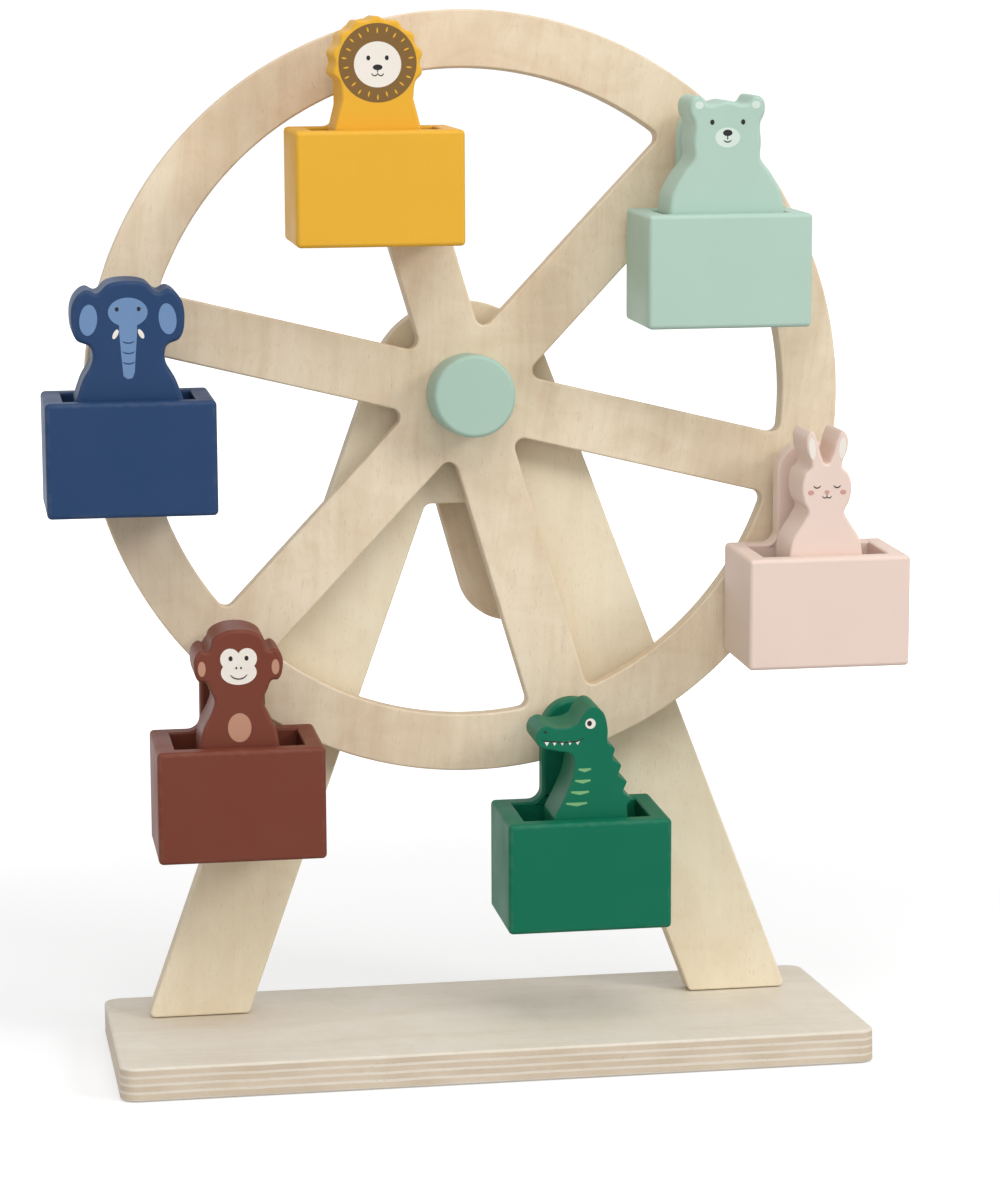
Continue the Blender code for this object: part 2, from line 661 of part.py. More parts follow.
def build_peg(colour, axis):
    """A peg that is glued in the wheel, with its head and the spacer behind the box."""
    slant = math.tan(LEAN)
    half = HANGER_THICKNESS / 2 / math.cos(LEAN)
    head_back = PIVOT_Y - half - PEG_HEAD_RADIUS * slant - FIT_GAP
    head_front = head_back - PEG_HEAD_HEIGHT
    spacer_front = PIVOT_Y + half + PEG_HEAD_RADIUS * slant + FIT_GAP
    spacer_back = WHEEL_FRONT - FIT_GAP
    rim = rounded_end(PEG_HEAD_RADIUS, head_front, PEG_HEAD_EDGE, 1)
    profile = [(0.0, WHEEL_BACK), (PEG_RADIUS, WHEEL_BACK), (PEG_RADIUS, head_back),
               (PEG_HEAD_RADIUS, head_back)] + rim[::-1] + [(0.0, head_front)]
    turned_part("peg_" + colour, profile, PEG_STEPS, FINISH["birch_dowel"], axis)
    bore = PEG_RADIUS + FIT_GAP
    profile = ring_profile(bore, PEG_HEAD_RADIUS, spacer_front, spacer_back)
    turned_part("peg_spacer_" + colour, profile, PEG_STEPS, FINISH["birch_dowel"], axis, True)


def block_mesh(name, low, high):
    """A box mesh from its lowest to its highest corner."""
    work = bmesh.new()
    bmesh.ops.create_cube(work, size=1.0)
    size = Vector(high) - Vector(low)
    middle = (Vector(high) + Vector(low)) / 2
    bmesh.ops.scale(work, vec=size, verts=work.verts)
    bmesh.ops.translate(work, vec=middle, verts=work.verts)
    mesh = bpy.data.meshes.new(name)
    work.to_mesh(mesh)
    work.free()
    return mesh


def build_tub(colour, lean):
    """A box with its pocket. Its back is closed by the hanger board."""
    half = TUB_WIDTH / 2
    seam = -HANGER_THICKNESS / 2 - FIT_GAP
    front = HANGER_THICKNESS / 2 - TUB_DEPTH
    top = -TUB_DROP
    bottom = -TUB_DROP - TUB_HEIGHT
    mesh = block_mesh("tub_" + colour, (-half, front, bottom), (half, seam, top))
    round_block(mesh, seam)
    tub = add_part("tub_" + colour, mesh, FINISH[colour], lean)
    pocket = block_mesh("pocket_" + colour,
                        (-POCKET_HALF_WIDTH, front + TUB_FRONT_WALL, bottom + TUB_FLOOR),
                        (POCKET_HALF_WIDTH, seam + CUT_OVERRUN, top + CUT_OVERRUN))
    cut(tub, [add_cutter("pocket_" + colour, pocket, (0.0, 0.0, 0.0), lean)])
    return tub


def round_block(mesh, seam):
    """Round a block's edges, apart from those around its seam face."""
    work = bmesh.new()
    work.from_mesh(mesh)
    loose = [edge for edge in work.edges
             if any(vert.co.y < seam - FIT_GAP for vert in edge.verts)]
    bmesh.ops.bevel(work, geom=loose, offset=TUB_EDGE, segments=2, profile=0.5,
                    affect="EDGES")
    work.to_mesh(mesh)
    work.free()


def build_hanger(colour, lean):
    """The board behind a box, with the tab that hangs on the peg."""
    half = TUB_WIDTH / 2
    tab = HANGER_HALF_WIDTH
    top = -TUB_DROP
    bottom = -TUB_DROP - TUB_HEIGHT
    outline = rounded([
        (-half, bottom, TUB_EDGE, 2), (half, bottom, TUB_EDGE, 2), (half, top, TUB_EDGE, 2),
        (tab, top, HANGER_FILLET, CORNER_STEPS), (tab, tab, tab, CROWN_STEPS // 2),
        (-tab, tab, tab, CROWN_STEPS // 2), (-tab, top, HANGER_FILLET, CORNER_STEPS),
        (-half, top, TUB_EDGE, 2)])
    hole_radius = PEG_RADIUS + HANGER_THICKNESS / 2 * math.tan(LEAN) + PEG_PLAY
    hole = circle((0.0, 0.0), hole_radius, PEG_STEPS)
    mesh = flat_mesh("hanger_" + colour, [outline, hole], HANGER_THICKNESS)
    mesh.transform(UPRIGHT)
    hanger = add_part("hanger_" + colour, mesh, FINISH[colour], lean)
    add_edge(hanger, HANGER_EDGE)
    return hanger


def figure_outline(figure):
    """The right side of a figure above its box, upwards, as (x, z, corner)."""
    half = POCKET_HALF_WIDTH * figure["half_width_share"]
    rise = FIGURE_RISE * figure["rise_share"]
    points = []
    for x_share, rise_share, is_corner in figure["outline_shares"]:
        points.append((x_share * half, -TUB_DROP + rise_share * rise, is_corner))
    if "mane_lobes" in figure:
        points += mane(figure, half, rise, points[-1])
    return points


def mane(figure, radius, rise, neck):
    """The right half of a lobed mane, from the neck up to the crown."""
    centre = -TUB_DROP + rise * figure["mane_rise_share"]
    lobes = figure["mane_lobes"]
    depth = radius * figure["mane_depth_share"]
    start = math.atan2(neck[1] - centre, neck[0])
    points = []
    for step in range(2 * lobes):
        angle = math.pi / 2 - step * math.pi / lobes
        if angle <= start + math.pi / lobes / 2:
            break
        reach = radius - (depth if step % 2 else 0.0)
        points.append((reach * math.cos(angle), centre + reach * math.sin(angle), False))
    return points[::-1]


def build_figure(colour, lean):
    """An animal cut from thick board, standing in its box."""
    figure = FIGURES[colour]
    right = figure_outline(figure)
    floor = -TUB_DROP - TUB_HEIGHT + TUB_FLOOR + FIT_GAP
    if figure["mirrored"]:
        points = [(right[0][0], floor, True)] + right
        points += [(-x, z, is_corner) for x, z, is_corner in right[::-1] if x > FIT_GAP]
        points.append((-right[0][0], floor, True))
    else:
        points = [(right[0][0], floor, True)] + right + [(right[-1][0], floor, True)]
    name = figure["animal"] + "_figure"
    mesh = flat_mesh(name, [], FIGURE_THICKNESS, points)
    mesh.transform(UPRIGHT)
    front = HANGER_THICKNESS / 2 - TUB_DEPTH + TUB_FRONT_WALL + FIGURE_PLAY
    mesh.transform(Matrix.Translation((0.0, front + FIGURE_THICKNESS / 2, 0.0)))
    body = add_part(name, mesh, FINISH[colour], lean)
    add_edge(body, FIGURE_EDGE)
    return body


def build_gondola(index, colour, wheel_axis):
    """A box on its peg, with the animal in it."""
    place = peg_offset(index)
    peg_axis = add_axis("peg_axis_" + colour, (place.x, 0.0, place.y), wheel_axis)
    build_peg(colour, peg_axis)
    lean = add_axis("lean_" + colour, (0.0, PIVOT_Y, 0.0), peg_axis, LEAN)
    build_tub(colour, lean)
    build_hanger(colour, lean)
    build_figure(colour, lean)


def main():
    build_base()
    build_base_screws()
    build_stand()
    wheel_axis = add_axis("wheel_axis", (0.0, 0.0, AXLE_HEIGHT))
    build_wheel(wheel_axis)
    build_axle(wheel_axis)
    build_crank(wheel_axis)
    for index, colour in enumerate(FIGURES):
        build_gondola(index, colour, wheel_axis)


clear_scene()
PARTS = new_collection("crank_ferris_wheel")
CUTTERS = new_collection("cutters")
FINISH = make_finishes()
main()
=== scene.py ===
import math

import bmesh
import bpy
from mathutils import Matrix, Vector
from mathutils.geometry import interpolate_bezier, tessellate_polygon


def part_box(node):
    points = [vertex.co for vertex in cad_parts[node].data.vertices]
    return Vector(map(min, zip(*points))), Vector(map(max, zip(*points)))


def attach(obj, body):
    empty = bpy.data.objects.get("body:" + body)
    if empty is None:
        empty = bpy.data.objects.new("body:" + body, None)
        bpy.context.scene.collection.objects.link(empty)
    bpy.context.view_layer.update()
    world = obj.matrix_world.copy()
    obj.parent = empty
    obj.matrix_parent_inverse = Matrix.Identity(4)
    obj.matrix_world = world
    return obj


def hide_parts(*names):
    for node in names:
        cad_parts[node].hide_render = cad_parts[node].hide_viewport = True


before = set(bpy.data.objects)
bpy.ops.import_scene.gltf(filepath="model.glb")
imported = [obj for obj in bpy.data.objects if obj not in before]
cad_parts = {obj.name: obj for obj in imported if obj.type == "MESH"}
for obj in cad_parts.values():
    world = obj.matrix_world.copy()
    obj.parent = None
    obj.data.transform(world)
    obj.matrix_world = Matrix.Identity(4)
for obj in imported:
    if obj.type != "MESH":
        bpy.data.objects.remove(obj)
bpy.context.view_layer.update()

bl_info = {
    "name": "Crank Ferris Wheel Toy",
    "version": (1, 0, 0),
    "blender": (4, 5, 0),
    "location": "View3D > Sidebar > Ferris Wheel",
    "description": "Builds the detailed look of a wooden crank ferris wheel on its CAD frame",
    "category": "Object",
}

MM = 0.001
# UPRIGHT stands a flat board on edge, its face to the front, and FRONT_TO_BACK lays a
# turned piece along +Y
UPRIGHT = Matrix.Rotation(math.radians(90), 4, "X")
FRONT_TO_BACK = Matrix.Rotation(math.radians(-90), 4, "X")
COLOURS = ("pink", "mint", "yellow", "navy", "brown", "green")
ANIMALS = {"pink": "rabbit", "mint": "bear", "yellow": "lion", "navy": "elephant",
           "brown": "monkey", "green": "crocodile"}
BASE_SCREWS = ["base_screw_" + str(number) for number in range(1, 5)]
OVERRUN = 1 * MM
BOX_LEAN = math.radians(4.1)

# The photo's camera: its place in millimetres, its turns in degrees and its focal length in
# pixels of a picture of this height
CAMERA_PLACE = (-213.5525, -1400.9012, 335.513)
CAMERA_TURNS = (9.1135, -6.1181, -0.8909)
FOCAL_PIXELS = 3524.0965
PICTURE_HEIGHT = 1200.0
SENSOR_HEIGHT = 36.0
CLIP_NEAR, CLIP_FAR = 0.05, 60.0
# Each lamp's power in watts, and its width and place in metres
LAMPS = {"key": (20.0, 0.8, (1.7, -1.7, 1.3)), "top": (25.0, 2.0, (0.1, -1.5, 2.1)),
         "fill": (8.0, 2.0, (-1.9, -1.6, 0.7))}
LAMP_TARGET = Vector((0, 0, 0.22))
GROUND_REACH, GROUND_DROP = 30.0, 0.0002
WORLD_LIGHT, WORLD_WHITE = 0.54, 1.05

# Half outlines of the figures, up the right side from the box's rim: shares of the half width
# and of the rise, and whether the outline has a corner there. Edge radii in millimetres
OUTLINES = {
    "pink": {
        "mirrored": True, "half_width_share": 0.59, "rise_share": 1.08, "edge": 1.2,
        "points": [
            (1.00, 0.00, True), (0.92, 0.12, False), (0.62, 0.27, False), (0.50, 0.345, False),
            (0.62, 0.43, False), (0.68, 0.54, False), (0.60, 0.65, False), (0.42, 0.715, False),
            (0.56, 0.86, False), (0.54, 0.965, False), (0.42, 1.00, False), (0.27, 0.93, False),
            (0.15, 0.80, False), (0.00, 0.735, False)],
    },
    "mint": {
        "mirrored": True, "half_width_share": 0.915, "rise_share": 1.0, "edge": 1.8,
        "points": [
            (1.00, 0.00, True), (0.95, 0.16, False), (0.76, 0.34, False), (0.585, 0.46, False),
            (0.59, 0.60, False), (0.575, 0.76, False), (0.65, 0.86, False), (0.61, 0.97, False),
            (0.46, 0.995, False), (0.34, 0.93, False), (0.00, 0.955, False)],
    },
    "yellow": {
        "mirrored": True, "half_width_share": 0.70, "rise_share": 0.95, "edge": 1.2,
        "points": [
            (0.95, 0.00, True), (0.87, 0.13, False), (0.78, 0.27, True)],
        "mane_rise_share": 0.585, "mane_lobes": 14, "mane_depth_share": 0.075,
    },
    "navy": {
        "mirrored": True, "half_width_share": 0.857, "rise_share": 1.0, "edge": 1.8,
        "points": [
            (0.95, 0.00, True), (0.82, 0.17, False), (0.64, 0.34, False), (0.68, 0.45, False),
            (0.91, 0.51, False), (1.00, 0.67, False), (0.93, 0.85, False), (0.72, 0.93, False),
            (0.54, 0.90, False), (0.34, 0.975, False), (0.00, 1.00, False)],
    },
    "brown": {
        "mirrored": True, "half_width_share": 0.68, "rise_share": 1.01, "edge": 1.6,
        "points": [
            (0.90, 0.00, True), (0.82, 0.15, False), (0.62, 0.30, False), (0.56, 0.39, False),
            (0.66, 0.49, False), (0.75, 0.555, False), (0.90, 0.565, False), (1.00, 0.66, False),
            (0.97, 0.78, False), (0.83, 0.83, False), (0.70, 0.82, False), (0.56, 0.93, False),
            (0.30, 0.985, False), (0.00, 1.00, False)],
    },
    "green": {
        "mirrored": False, "half_width_share": 0.80, "rise_share": 0.98, "edge": 0.6,
        "points": [
            (0.80, 0.00, True), (0.78, 0.10, True), (0.90, 0.16, True), (0.70, 0.22, True),
            (0.80, 0.32, True), (0.60, 0.37, True), (0.69, 0.47, True), (0.49, 0.52, True),
            (0.56, 0.62, True), (0.40, 0.67, True), (0.40, 0.82, False), (0.30, 0.955, False),
            (0.10, 1.00, False), (-0.08, 0.93, False), (-0.20, 0.85, False),
            (-0.55, 0.815, False), (-0.84, 0.84, False), (-1.00, 0.77, False),
            (-0.97, 0.67, False), (-0.62, 0.615, False), (-0.30, 0.57, False),
            (-0.27, 0.43, False), (-0.44, 0.20, False), (-0.66, 0.00, True)],
    },
}


# Shapes

def arc(centre, radius, start, end, steps):
    """Points along an arc, both ends included."""
    points = []
    for step in range(steps + 1):
        angle = start + (end - start) * step / steps
        points.append(Vector((centre[0] + radius * math.cos(angle),
                              centre[1] + radius * math.sin(angle))))
    return points


def circle(centre, radius, steps):
    """Points round a circle."""
    return arc(centre, radius, 0.0, 2 * math.pi, steps)[:-1]


def rounded(corners):
    """A closed outline from corners (x, y, radius, steps), with an arc at each rounded one."""
    points = []
    count = len(corners)
    for index, (x, y, radius, steps) in enumerate(corners):
        corner = Vector((x, y))
        before = (Vector(corners[index - 1][:2]) - corner).normalized()
        after = (Vector(corners[(index + 1) % count][:2]) - corner).normalized()
        half = before.angle(after) / 2
        centre = corner + (before + after).normalized() * radius / math.sin(half)
        start = corner + before * radius / math.tan(half) - centre
        end = corner + after * radius / math.tan(half) - centre
        start_angle = math.atan2(start.y, start.x)
        turn = math.atan2(end.y, end.x) - start_angle
        turn = (turn + math.pi) % (2 * math.pi) - math.pi
        points += arc(centre, radius, start_angle, start_angle + turn, steps)
    return points


def spin(points, angle):
    """Points turned about the origin."""
    turn = Matrix.Rotation(angle, 2)
    return [turn @ Vector(point) for point in points]


def tidy(mesh, weld=0.005 * MM):
    """Weld the mesh, join its flat triangles and face every side outwards."""
    work = bmesh.new()
    work.from_mesh(mesh)
    bmesh.ops.remove_doubles(work, verts=work.verts, dist=weld)
    bmesh.ops.dissolve_limit(work, angle_limit=math.radians(0.1), verts=work.verts,
                             edges=work.edges)
    bmesh.ops.recalc_face_normals(work, faces=work.faces)
    work.to_mesh(mesh)
    work.free()


def from_curve(name, curve):
    """The mesh of a filled curve."""
    holder = bpy.data.objects.new(name + "_outline", curve)
    bpy.context.scene.collection.objects.link(holder)
    bpy.context.view_layer.update()
    evaluated = holder.evaluated_get(bpy.context.evaluated_depsgraph_get())
    mesh = bpy.data.meshes.new_from_object(evaluated)
    bpy.data.objects.remove(holder, do_unlink=True)
    bpy.data.curves.remove(curve)
    tidy(mesh)
    mesh.name = name
    return mesh


def smooth_outline(points, steps):
    """A closed outline through (x, y, corner) points, curved where they aren't corners."""
    count = len(points)
    spots = [Vector(point[:2]) for point in points]
    bends = []
    for index, (_, _, is_corner) in enumerate(points):
        before = (spots[index] - spots[index - 1]).normalized()
        after = (spots[(index + 1) % count] - spots[index]).normalized()
        bends.append(None if is_corner else (before + after).normalized())
    outline = []
    for index in range(count):
        after = (index + 1) % count
        first, last = spots[index], spots[after]
        reach = (last - first) / 3
        near = first + (bends[index] * reach.length if bends[index] else reach)
        far = last - (bends[after] * reach.length if bends[after] else reach)
        straight = bends[index] is None and bends[after] is None
        outline += interpolate_bezier(first, near, far, last, 2 if straight else steps + 1)[:-1]
    return [Vector(point[:2]) for point in outline]


def ease_corners(outline, reach, steps=5):
    """The outline with its sharp corners rounded off."""
    points = []
    count = len(outline)
    for index, spot in enumerate(outline):
        before = outline[index - 1] - spot
        after = outline[(index + 1) % count] - spot
        if before.angle(-after) < math.radians(24):
            points.append(spot)
            continue
        first = spot + before.normalized() * min(reach, before.length * 0.4)
        last = spot + after.normalized() * min(reach, after.length * 0.4)
        for step in range(steps + 1):
            share = step / steps
            points.append((1 - share) ** 2 * first + 2 * share * (1 - share) * spot
                          + share ** 2 * last)
    return points


def area(outline):
    """The outline's area, positive where it runs anticlockwise."""
    return sum(first.cross(second) for first, second in zip(outline, outline[1:] + outline[:1]))


def inward(outline):
    """For each point, the mitred way to its left and the plain direction to its right."""
    ways = []
    count = len(outline)
    for index, spot in enumerate(outline):
        before = (spot - outline[index - 1]).normalized()
        after = (outline[(index + 1) % count] - spot).normalized()
        left = Vector((-before.y - after.y, before.x + after.x)).normalized()
        spread_out = 1 / max(left.dot(Vector((-before.y, before.x))), 0.6)
        ways.append((left * spread_out, -left))
    return ways


def board_mesh(name, outlines, thickness, edge, steps=4):
    """A board cut to an outline with holes, about its middle plane, with rounded edges.

    The attribute "edge" marks the rounding for the materials, and "facing" keeps the true
    normals until the piece is placed.
    """
    work = bmesh.new()
    worn = work.verts.layers.float.new("edge")
    facing = work.verts.layers.float_vector.new("facing")
    caps = {1: ([], []), -1: ([], [])}
    for number, outline in enumerate(outlines):
        outline = [Vector(point) for point in outline]
        if (area(outline) > 0) != (number == 0):
            outline.reverse()
        ways = inward(outline)
        rings = []
        for side in (1, -1):
            for step in range(steps + 1) if side < 0 else range(steps, -1, -1):
                turn = math.pi / 2 * step / steps
                inset = edge * (1 - math.cos(turn))
                height = side * (thickness / 2 - edge * (1 - math.sin(turn)))
                ring = []
                for spot, (way, out) in zip(outline, ways):
                    place_at = spot + way * inset
                    vertex = work.verts.new((place_at.x, place_at.y, height))
                    vertex[worn] = math.sin(2 * turn)
                    vertex[facing] = (out.x * math.cos(turn), out.y * math.cos(turn),
                                      side * math.sin(turn))
                    ring.append(vertex)
                rings.append(ring)
        for first, second in zip(rings, rings[1:]):
            for index in range(len(outline)):
                after = (index + 1) % len(outline)
                work.faces.new((first[index], second[index], second[after], first[after]))
        for side, ring in ((1, rings[0]), (-1, rings[-1])):
            caps[side][0].append([Vector((vertex.co.x, vertex.co.y, 0.0)) for vertex in ring])
            caps[side][1].extend(ring)
    for side, (loops, vertices) in caps.items():
        for triangle in tessellate_polygon(loops):
            corners = [vertices[index] for index in triangle]
            flat = [vertex.co.xy for vertex in corners]
            turn = (flat[1] - flat[0]).cross(flat[2] - flat[0])
            if abs(turn) < 1e-12:
                continue
            work.faces.new(corners if turn * side > 0 else corners[::-1])
    mesh = bpy.data.meshes.new(name)
    work.to_mesh(mesh)
    work.free()
    return mesh


def flat_mesh(name, outlines, thickness):
    """A sharp-edged board cut to flat outlines, about its middle plane."""
    curve = bpy.data.curves.new(name, "CURVE")
    curve.dimensions = "2D"
    curve.fill_mode = "BOTH"
    curve.extrude = thickness / 2
    for outline in outlines:
        spline = curve.splines.new("POLY")
        spline.points.add(len(outline) - 1)
        for target, point in zip(spline.points, outline):
            target.co = (point[0], point[1], 0.0, 1.0)
        spline.use_cyclic_u = True
    return from_curve(name, curve)


def turned_mesh(name, profile, steps, closed=False):
    """A mesh turned about Z from (radius, height) points. A radius of 0 is a pole."""
    work = bmesh.new()
    rings = []
    for radius, height in profile:
        if radius < 1e-7:
            rings.append([work.verts.new((0.0, 0.0, height))])
            continue
        ring = []
        for step in range(steps):
            angle = 2 * math.pi * step / steps
            ring.append(work.verts.new((radius * math.cos(angle), radius * math.sin(angle),
                                        height)))
        rings.append(ring)
    pairs = list(zip(rings, rings[1:]))
    if closed:
        pairs.append((rings[-1], rings[0]))
    for first, second in pairs:
        for step in range(steps):
            after = (step + 1) % steps
            corners = [first[step % len(first)], first[after % len(first)],
                       second[after % len(second)], second[step % len(second)]]
            unique = list(dict.fromkeys(corners))
            if len(unique) > 2:
                work.faces.new(unique)
    bmesh.ops.recalc_face_normals(work, faces=work.faces)
    mesh = bpy.data.meshes.new(name)
    work.to_mesh(mesh)
    work.free()
    return mesh


def lip(radius, end, edge, way, steps):
    """Profile points that round a turned end's rim, from the flat to the side.

    way is 1 where the piece lies above that end, and -1 where it lies below.
    """
    points = []
    for step in range(steps + 1):
        angle = math.pi / 2 * step / steps
        points.append((radius - edge + edge * math.sin(angle),
                       end + way * edge * (1 - math.cos(angle))))
    return points


def block_mesh(name, low, high):
    """A box mesh from its lowest to its highest corner."""
    work = bmesh.new()
    bmesh.ops.create_cube(work, size=1.0)
    bmesh.ops.scale(work, vec=Vector(high) - Vector(low), verts=work.verts)
    bmesh.ops.translate(work, vec=(Vector(high) + Vector(low)) / 2, verts=work.verts)
    mesh = bpy.data.meshes.new(name)
    work.to_mesh(mesh)
    work.free()
    return mesh


def join_shapes(mesh, other, operation):
    """The mesh with another added to it or cut out of it."""
    holders = []
    for source in (mesh, other):
        holder = bpy.data.objects.new("shape", source)
        bpy.context.scene.collection.objects.link(holder)
        holders.append(holder)
    boolean = holders[0].modifiers.new("shape", "BOOLEAN")
    boolean.operation = operation
    boolean.solver = "EXACT"
    boolean.object = holders[1]
    bpy.context.view_layer.update()
    evaluated = holders[0].evaluated_get(bpy.context.evaluated_depsgraph_get())
    result = bpy.data.meshes.new_from_object(evaluated)
    for holder in holders:
        bpy.data.objects.remove(holder, do_unlink=True)
    tidy(result)
    return result


def soften(mesh, radius_of, segments):
    """Round the mesh's sharp convex edges, each by the radius that radius_of gives it.

    The rounded faces get the attribute "edge", which the materials read for wear.
    """
    work = bmesh.new()
    work.from_mesh(mesh)
    layer = work.edges.layers.float.new("bevel_weight_edge")
    radii = {}
    for edge in work.edges:
        if len(edge.link_faces) != 2 or edge.calc_face_angle(0.0) < math.radians(40):
            continue
        if edge.is_convex:
            radii[edge.index] = radius_of(edge)
    widest = max(radii.values())
    for edge in work.edges:
        edge[layer] = radii.get(edge.index, 0.0) / widest
    work.to_mesh(mesh)
    work.free()
    holder = bpy.data.objects.new("soften", mesh)
    bpy.context.scene.collection.objects.link(holder)
    bevel = holder.modifiers.new("edge", "BEVEL")
    bevel.width = widest
    bevel.segments = segments
    bevel.limit_method = "WEIGHT"
    bevel.use_clamp_overlap = False
    bevel.material = 1
    mesh.materials.append(None)
    mesh.materials.append(None)
    bpy.context.view_layer.update()
    evaluated = holder.evaluated_get(bpy.context.evaluated_depsgraph_get())
    result = bpy.data.meshes.new_from_object(evaluated)
    bpy.data.objects.remove(holder, do_unlink=True)
    worn = result.attributes.new("edge", "FLOAT", "FACE")
    for polygon in result.polygons:
        worn.data[polygon.index].value = float(polygon.material_index)
        polygon.material_index = 0
    result.materials.clear()
    return result


def plate_mesh(name, shapes, back, front):
    """Thin flat prints as one mesh in XZ. shapes are (points, material index)."""
    work = bmesh.new()
    for points, index in shapes:
        lower = [work.verts.new((point[0] * MM, back, point[1] * MM)) for point in points]
        upper = [work.verts.new((point[0] * MM, front, point[1] * MM)) for point in points]
        faces = [work.faces.new(lower), work.faces.new(upper[::-1])]
        for step in range(len(points)):
            after = (step + 1) % len(points)
            faces.append(work.faces.new((lower[after], lower[step], upper[step], upper[after])))
        for face in faces:
            face.material_index = index
        bmesh.ops.recalc_face_normals(work, faces=faces)
    mesh = bpy.data.meshes.new(name)
    work.to_mesh(mesh)
    work.free()
    return mesh


def oval(x, z, across, up, tilt=0.0, steps=28):
    """An ellipse about (x, z), in millimetres, tilted in degrees."""
    turn = Matrix.Rotation(math.radians(tilt), 2)
    points = []
    for step in range(steps):
        angle = 2 * math.pi * step / steps
        point = turn @ Vector((across * math.cos(angle), up * math.sin(angle)))
        points.append((x + point.x, z + point.y))
    return points


def stroke(path, width):
    """A painted line of one width along a path, in millimetres, with pointed ends."""
    left, right = [], []
    last = len(path) - 1
    for index, point in enumerate(path):
        before = Vector(path[max(index - 1, 0)])
        after = Vector(path[min(index + 1, last)])
        along = (after - before).normalized()
        side = Vector((-along.y, along.x))
        reach = width / 2 * min(1.0, 0.45 + 2.2 * min(index, last - index) / last)
        left.append(tuple(Vector(point) + side * reach))
        right.append(tuple(Vector(point) - side * reach))
    return left + right[::-1]


def bow(x, z, radius, start, end, width, steps=10):
    """A painted arc, its angles in degrees."""
    path = arc((x, z), radius, math.radians(start), math.radians(end), steps)
    return stroke([tuple(point) for point in path], width)


def move_board(mesh, matrix):
    """Move a board's mesh, and turn the normals that it keeps."""
    mesh.transform(matrix)
    turn = matrix.to_3x3()
    for item in mesh.attributes["facing"].data:
        item.vector = turn @ Vector(item.vector)


def face_normals(mesh):
    """Give a board the normals it was built with, and its cut faces their own."""
    kept = [Vector(item.vector) for item in mesh.attributes["facing"].data]
    normals = []
    for polygon in mesh.polygons:
        own = polygon.normal
        for vertex in polygon.vertices:
            wanted = kept[vertex]
            fits = wanted.length > 0.5 and wanted.normalized().dot(own) > 0.6
            normals.append(tuple(wanted.normalized() if fits else own))
    mesh.attributes.remove(mesh.attributes["facing"])
    mesh.normals_split_custom_set(normals)


def place(name, mesh, materials, matrix, body, replaced=()):
    """Add a piece in the row frame, on its body, in place of the CAD nodes.

    The matrix goes into the mesh. The attribute "own" keeps the piece's own coordinates,
    which the materials follow for the grain.
    """
    for material in materials:
        mesh.materials.append(material)
    own = mesh.attributes.new("own", "FLOAT_VECTOR", "POINT")
    for item, vertex in zip(own.data, mesh.vertices):
        item.vector = vertex.co
    is_board = "facing" in mesh.attributes
    if is_board:
        move_board(mesh, matrix)
        mesh.shade_smooth()
        face_normals(mesh)
    else:
        mesh.transform(matrix)
        mesh.shade_smooth()
        mesh.set_sharp_from_angle(angle=math.radians(38))
    mesh.name = name
    obj = bpy.data.objects.new(name, mesh)
    bpy.context.scene.collection.objects.link(obj)
    if not is_board:
        even = obj.modifiers.new("even_shading", "WEIGHTED_NORMAL")
        even.keep_sharp = True
        even.weight = 60
    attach(obj, body)
    if replaced:
        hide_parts(*replaced)
    return obj


# Shader node groups and materials

def feed(tree, socket, value):
    """Link a socket to another one, or set its value."""
    if isinstance(value, bpy.types.NodeSocket):
        tree.links.new(value, socket)
    else:
        socket.default_value = value


def add(tree, kind, inputs=(), **settings):
    """Add a node, set its settings, and link or set its inputs by name or number."""
    node = tree.nodes.new(kind)
    for key, value in settings.items():
        setattr(node, key, value)
    for key, value in dict(inputs).items():
        feed(tree, node.inputs[key], value)
    return node


def maths(tree, operation, first, second=0.0, third=0.0):
    """The result of a Math node."""
    node = add(tree, "ShaderNodeMath", {0: first, 1: second, 2: third}, operation=operation)
    return node.outputs[0]


def spread(tree, value, low, high, to_low=0.0, to_high=1.0):
    """A value mapped from one range to another and kept inside it."""
    node = add(tree, "ShaderNodeMapRange", {"Value": value, "From Min": low, "From Max": high,
                                            "To Min": to_low, "To Max": to_high})
    node.interpolation_type = "SMOOTHSTEP"
    return node.outputs["Result"]


def blend(tree, factor, first, second, mode="MIX"):
    """Two colours mixed."""
    node = add(tree, "ShaderNodeMix", data_type="RGBA", blend_type=mode)
    for name, value in (("Factor_Float", factor), ("A_Color", first), ("B_Color", second)):
        feed(tree, next(item for item in node.inputs if item.identifier == name), value)
    return next(item for item in node.outputs if item.identifier == "Result_Color")


def noise(tree, vector, scales, detail=3.0, roughness=0.55, distortion=0.0):
    """Noise at a size per metre along each axis."""
    stretched = add(tree, "ShaderNodeVectorMath", {0: vector, 1: scales}, operation="MULTIPLY")
    node = add(tree, "ShaderNodeTexNoise",
               {"Vector": stretched.outputs[0], "Scale": 1.0, "Detail": detail,
                "Roughness": roughness, "Distortion": distortion})
    return node.outputs["Fac"]


def new_group(name, inputs, outputs):
    """A shader node group with its sockets, and its input and output nodes."""
    tree = bpy.data.node_groups.new(name, "ShaderNodeTree")
    for label, kind, default in inputs:
        socket = tree.interface.new_socket(name=label, in_out="INPUT", socket_type=kind)
        if default is not None:
            socket.default_value = default
    for label, kind in outputs:
        tree.interface.new_socket(name=label, in_out="OUTPUT", socket_type=kind)
    return tree, add(tree, "NodeGroupInput"), add(tree, "NodeGroupOutput")


def finish_group(tree, target, values):
    """Link a group's results to its outputs."""
    for name, value in values.items():
        tree.links.new(value, target.inputs[name])
    return tree


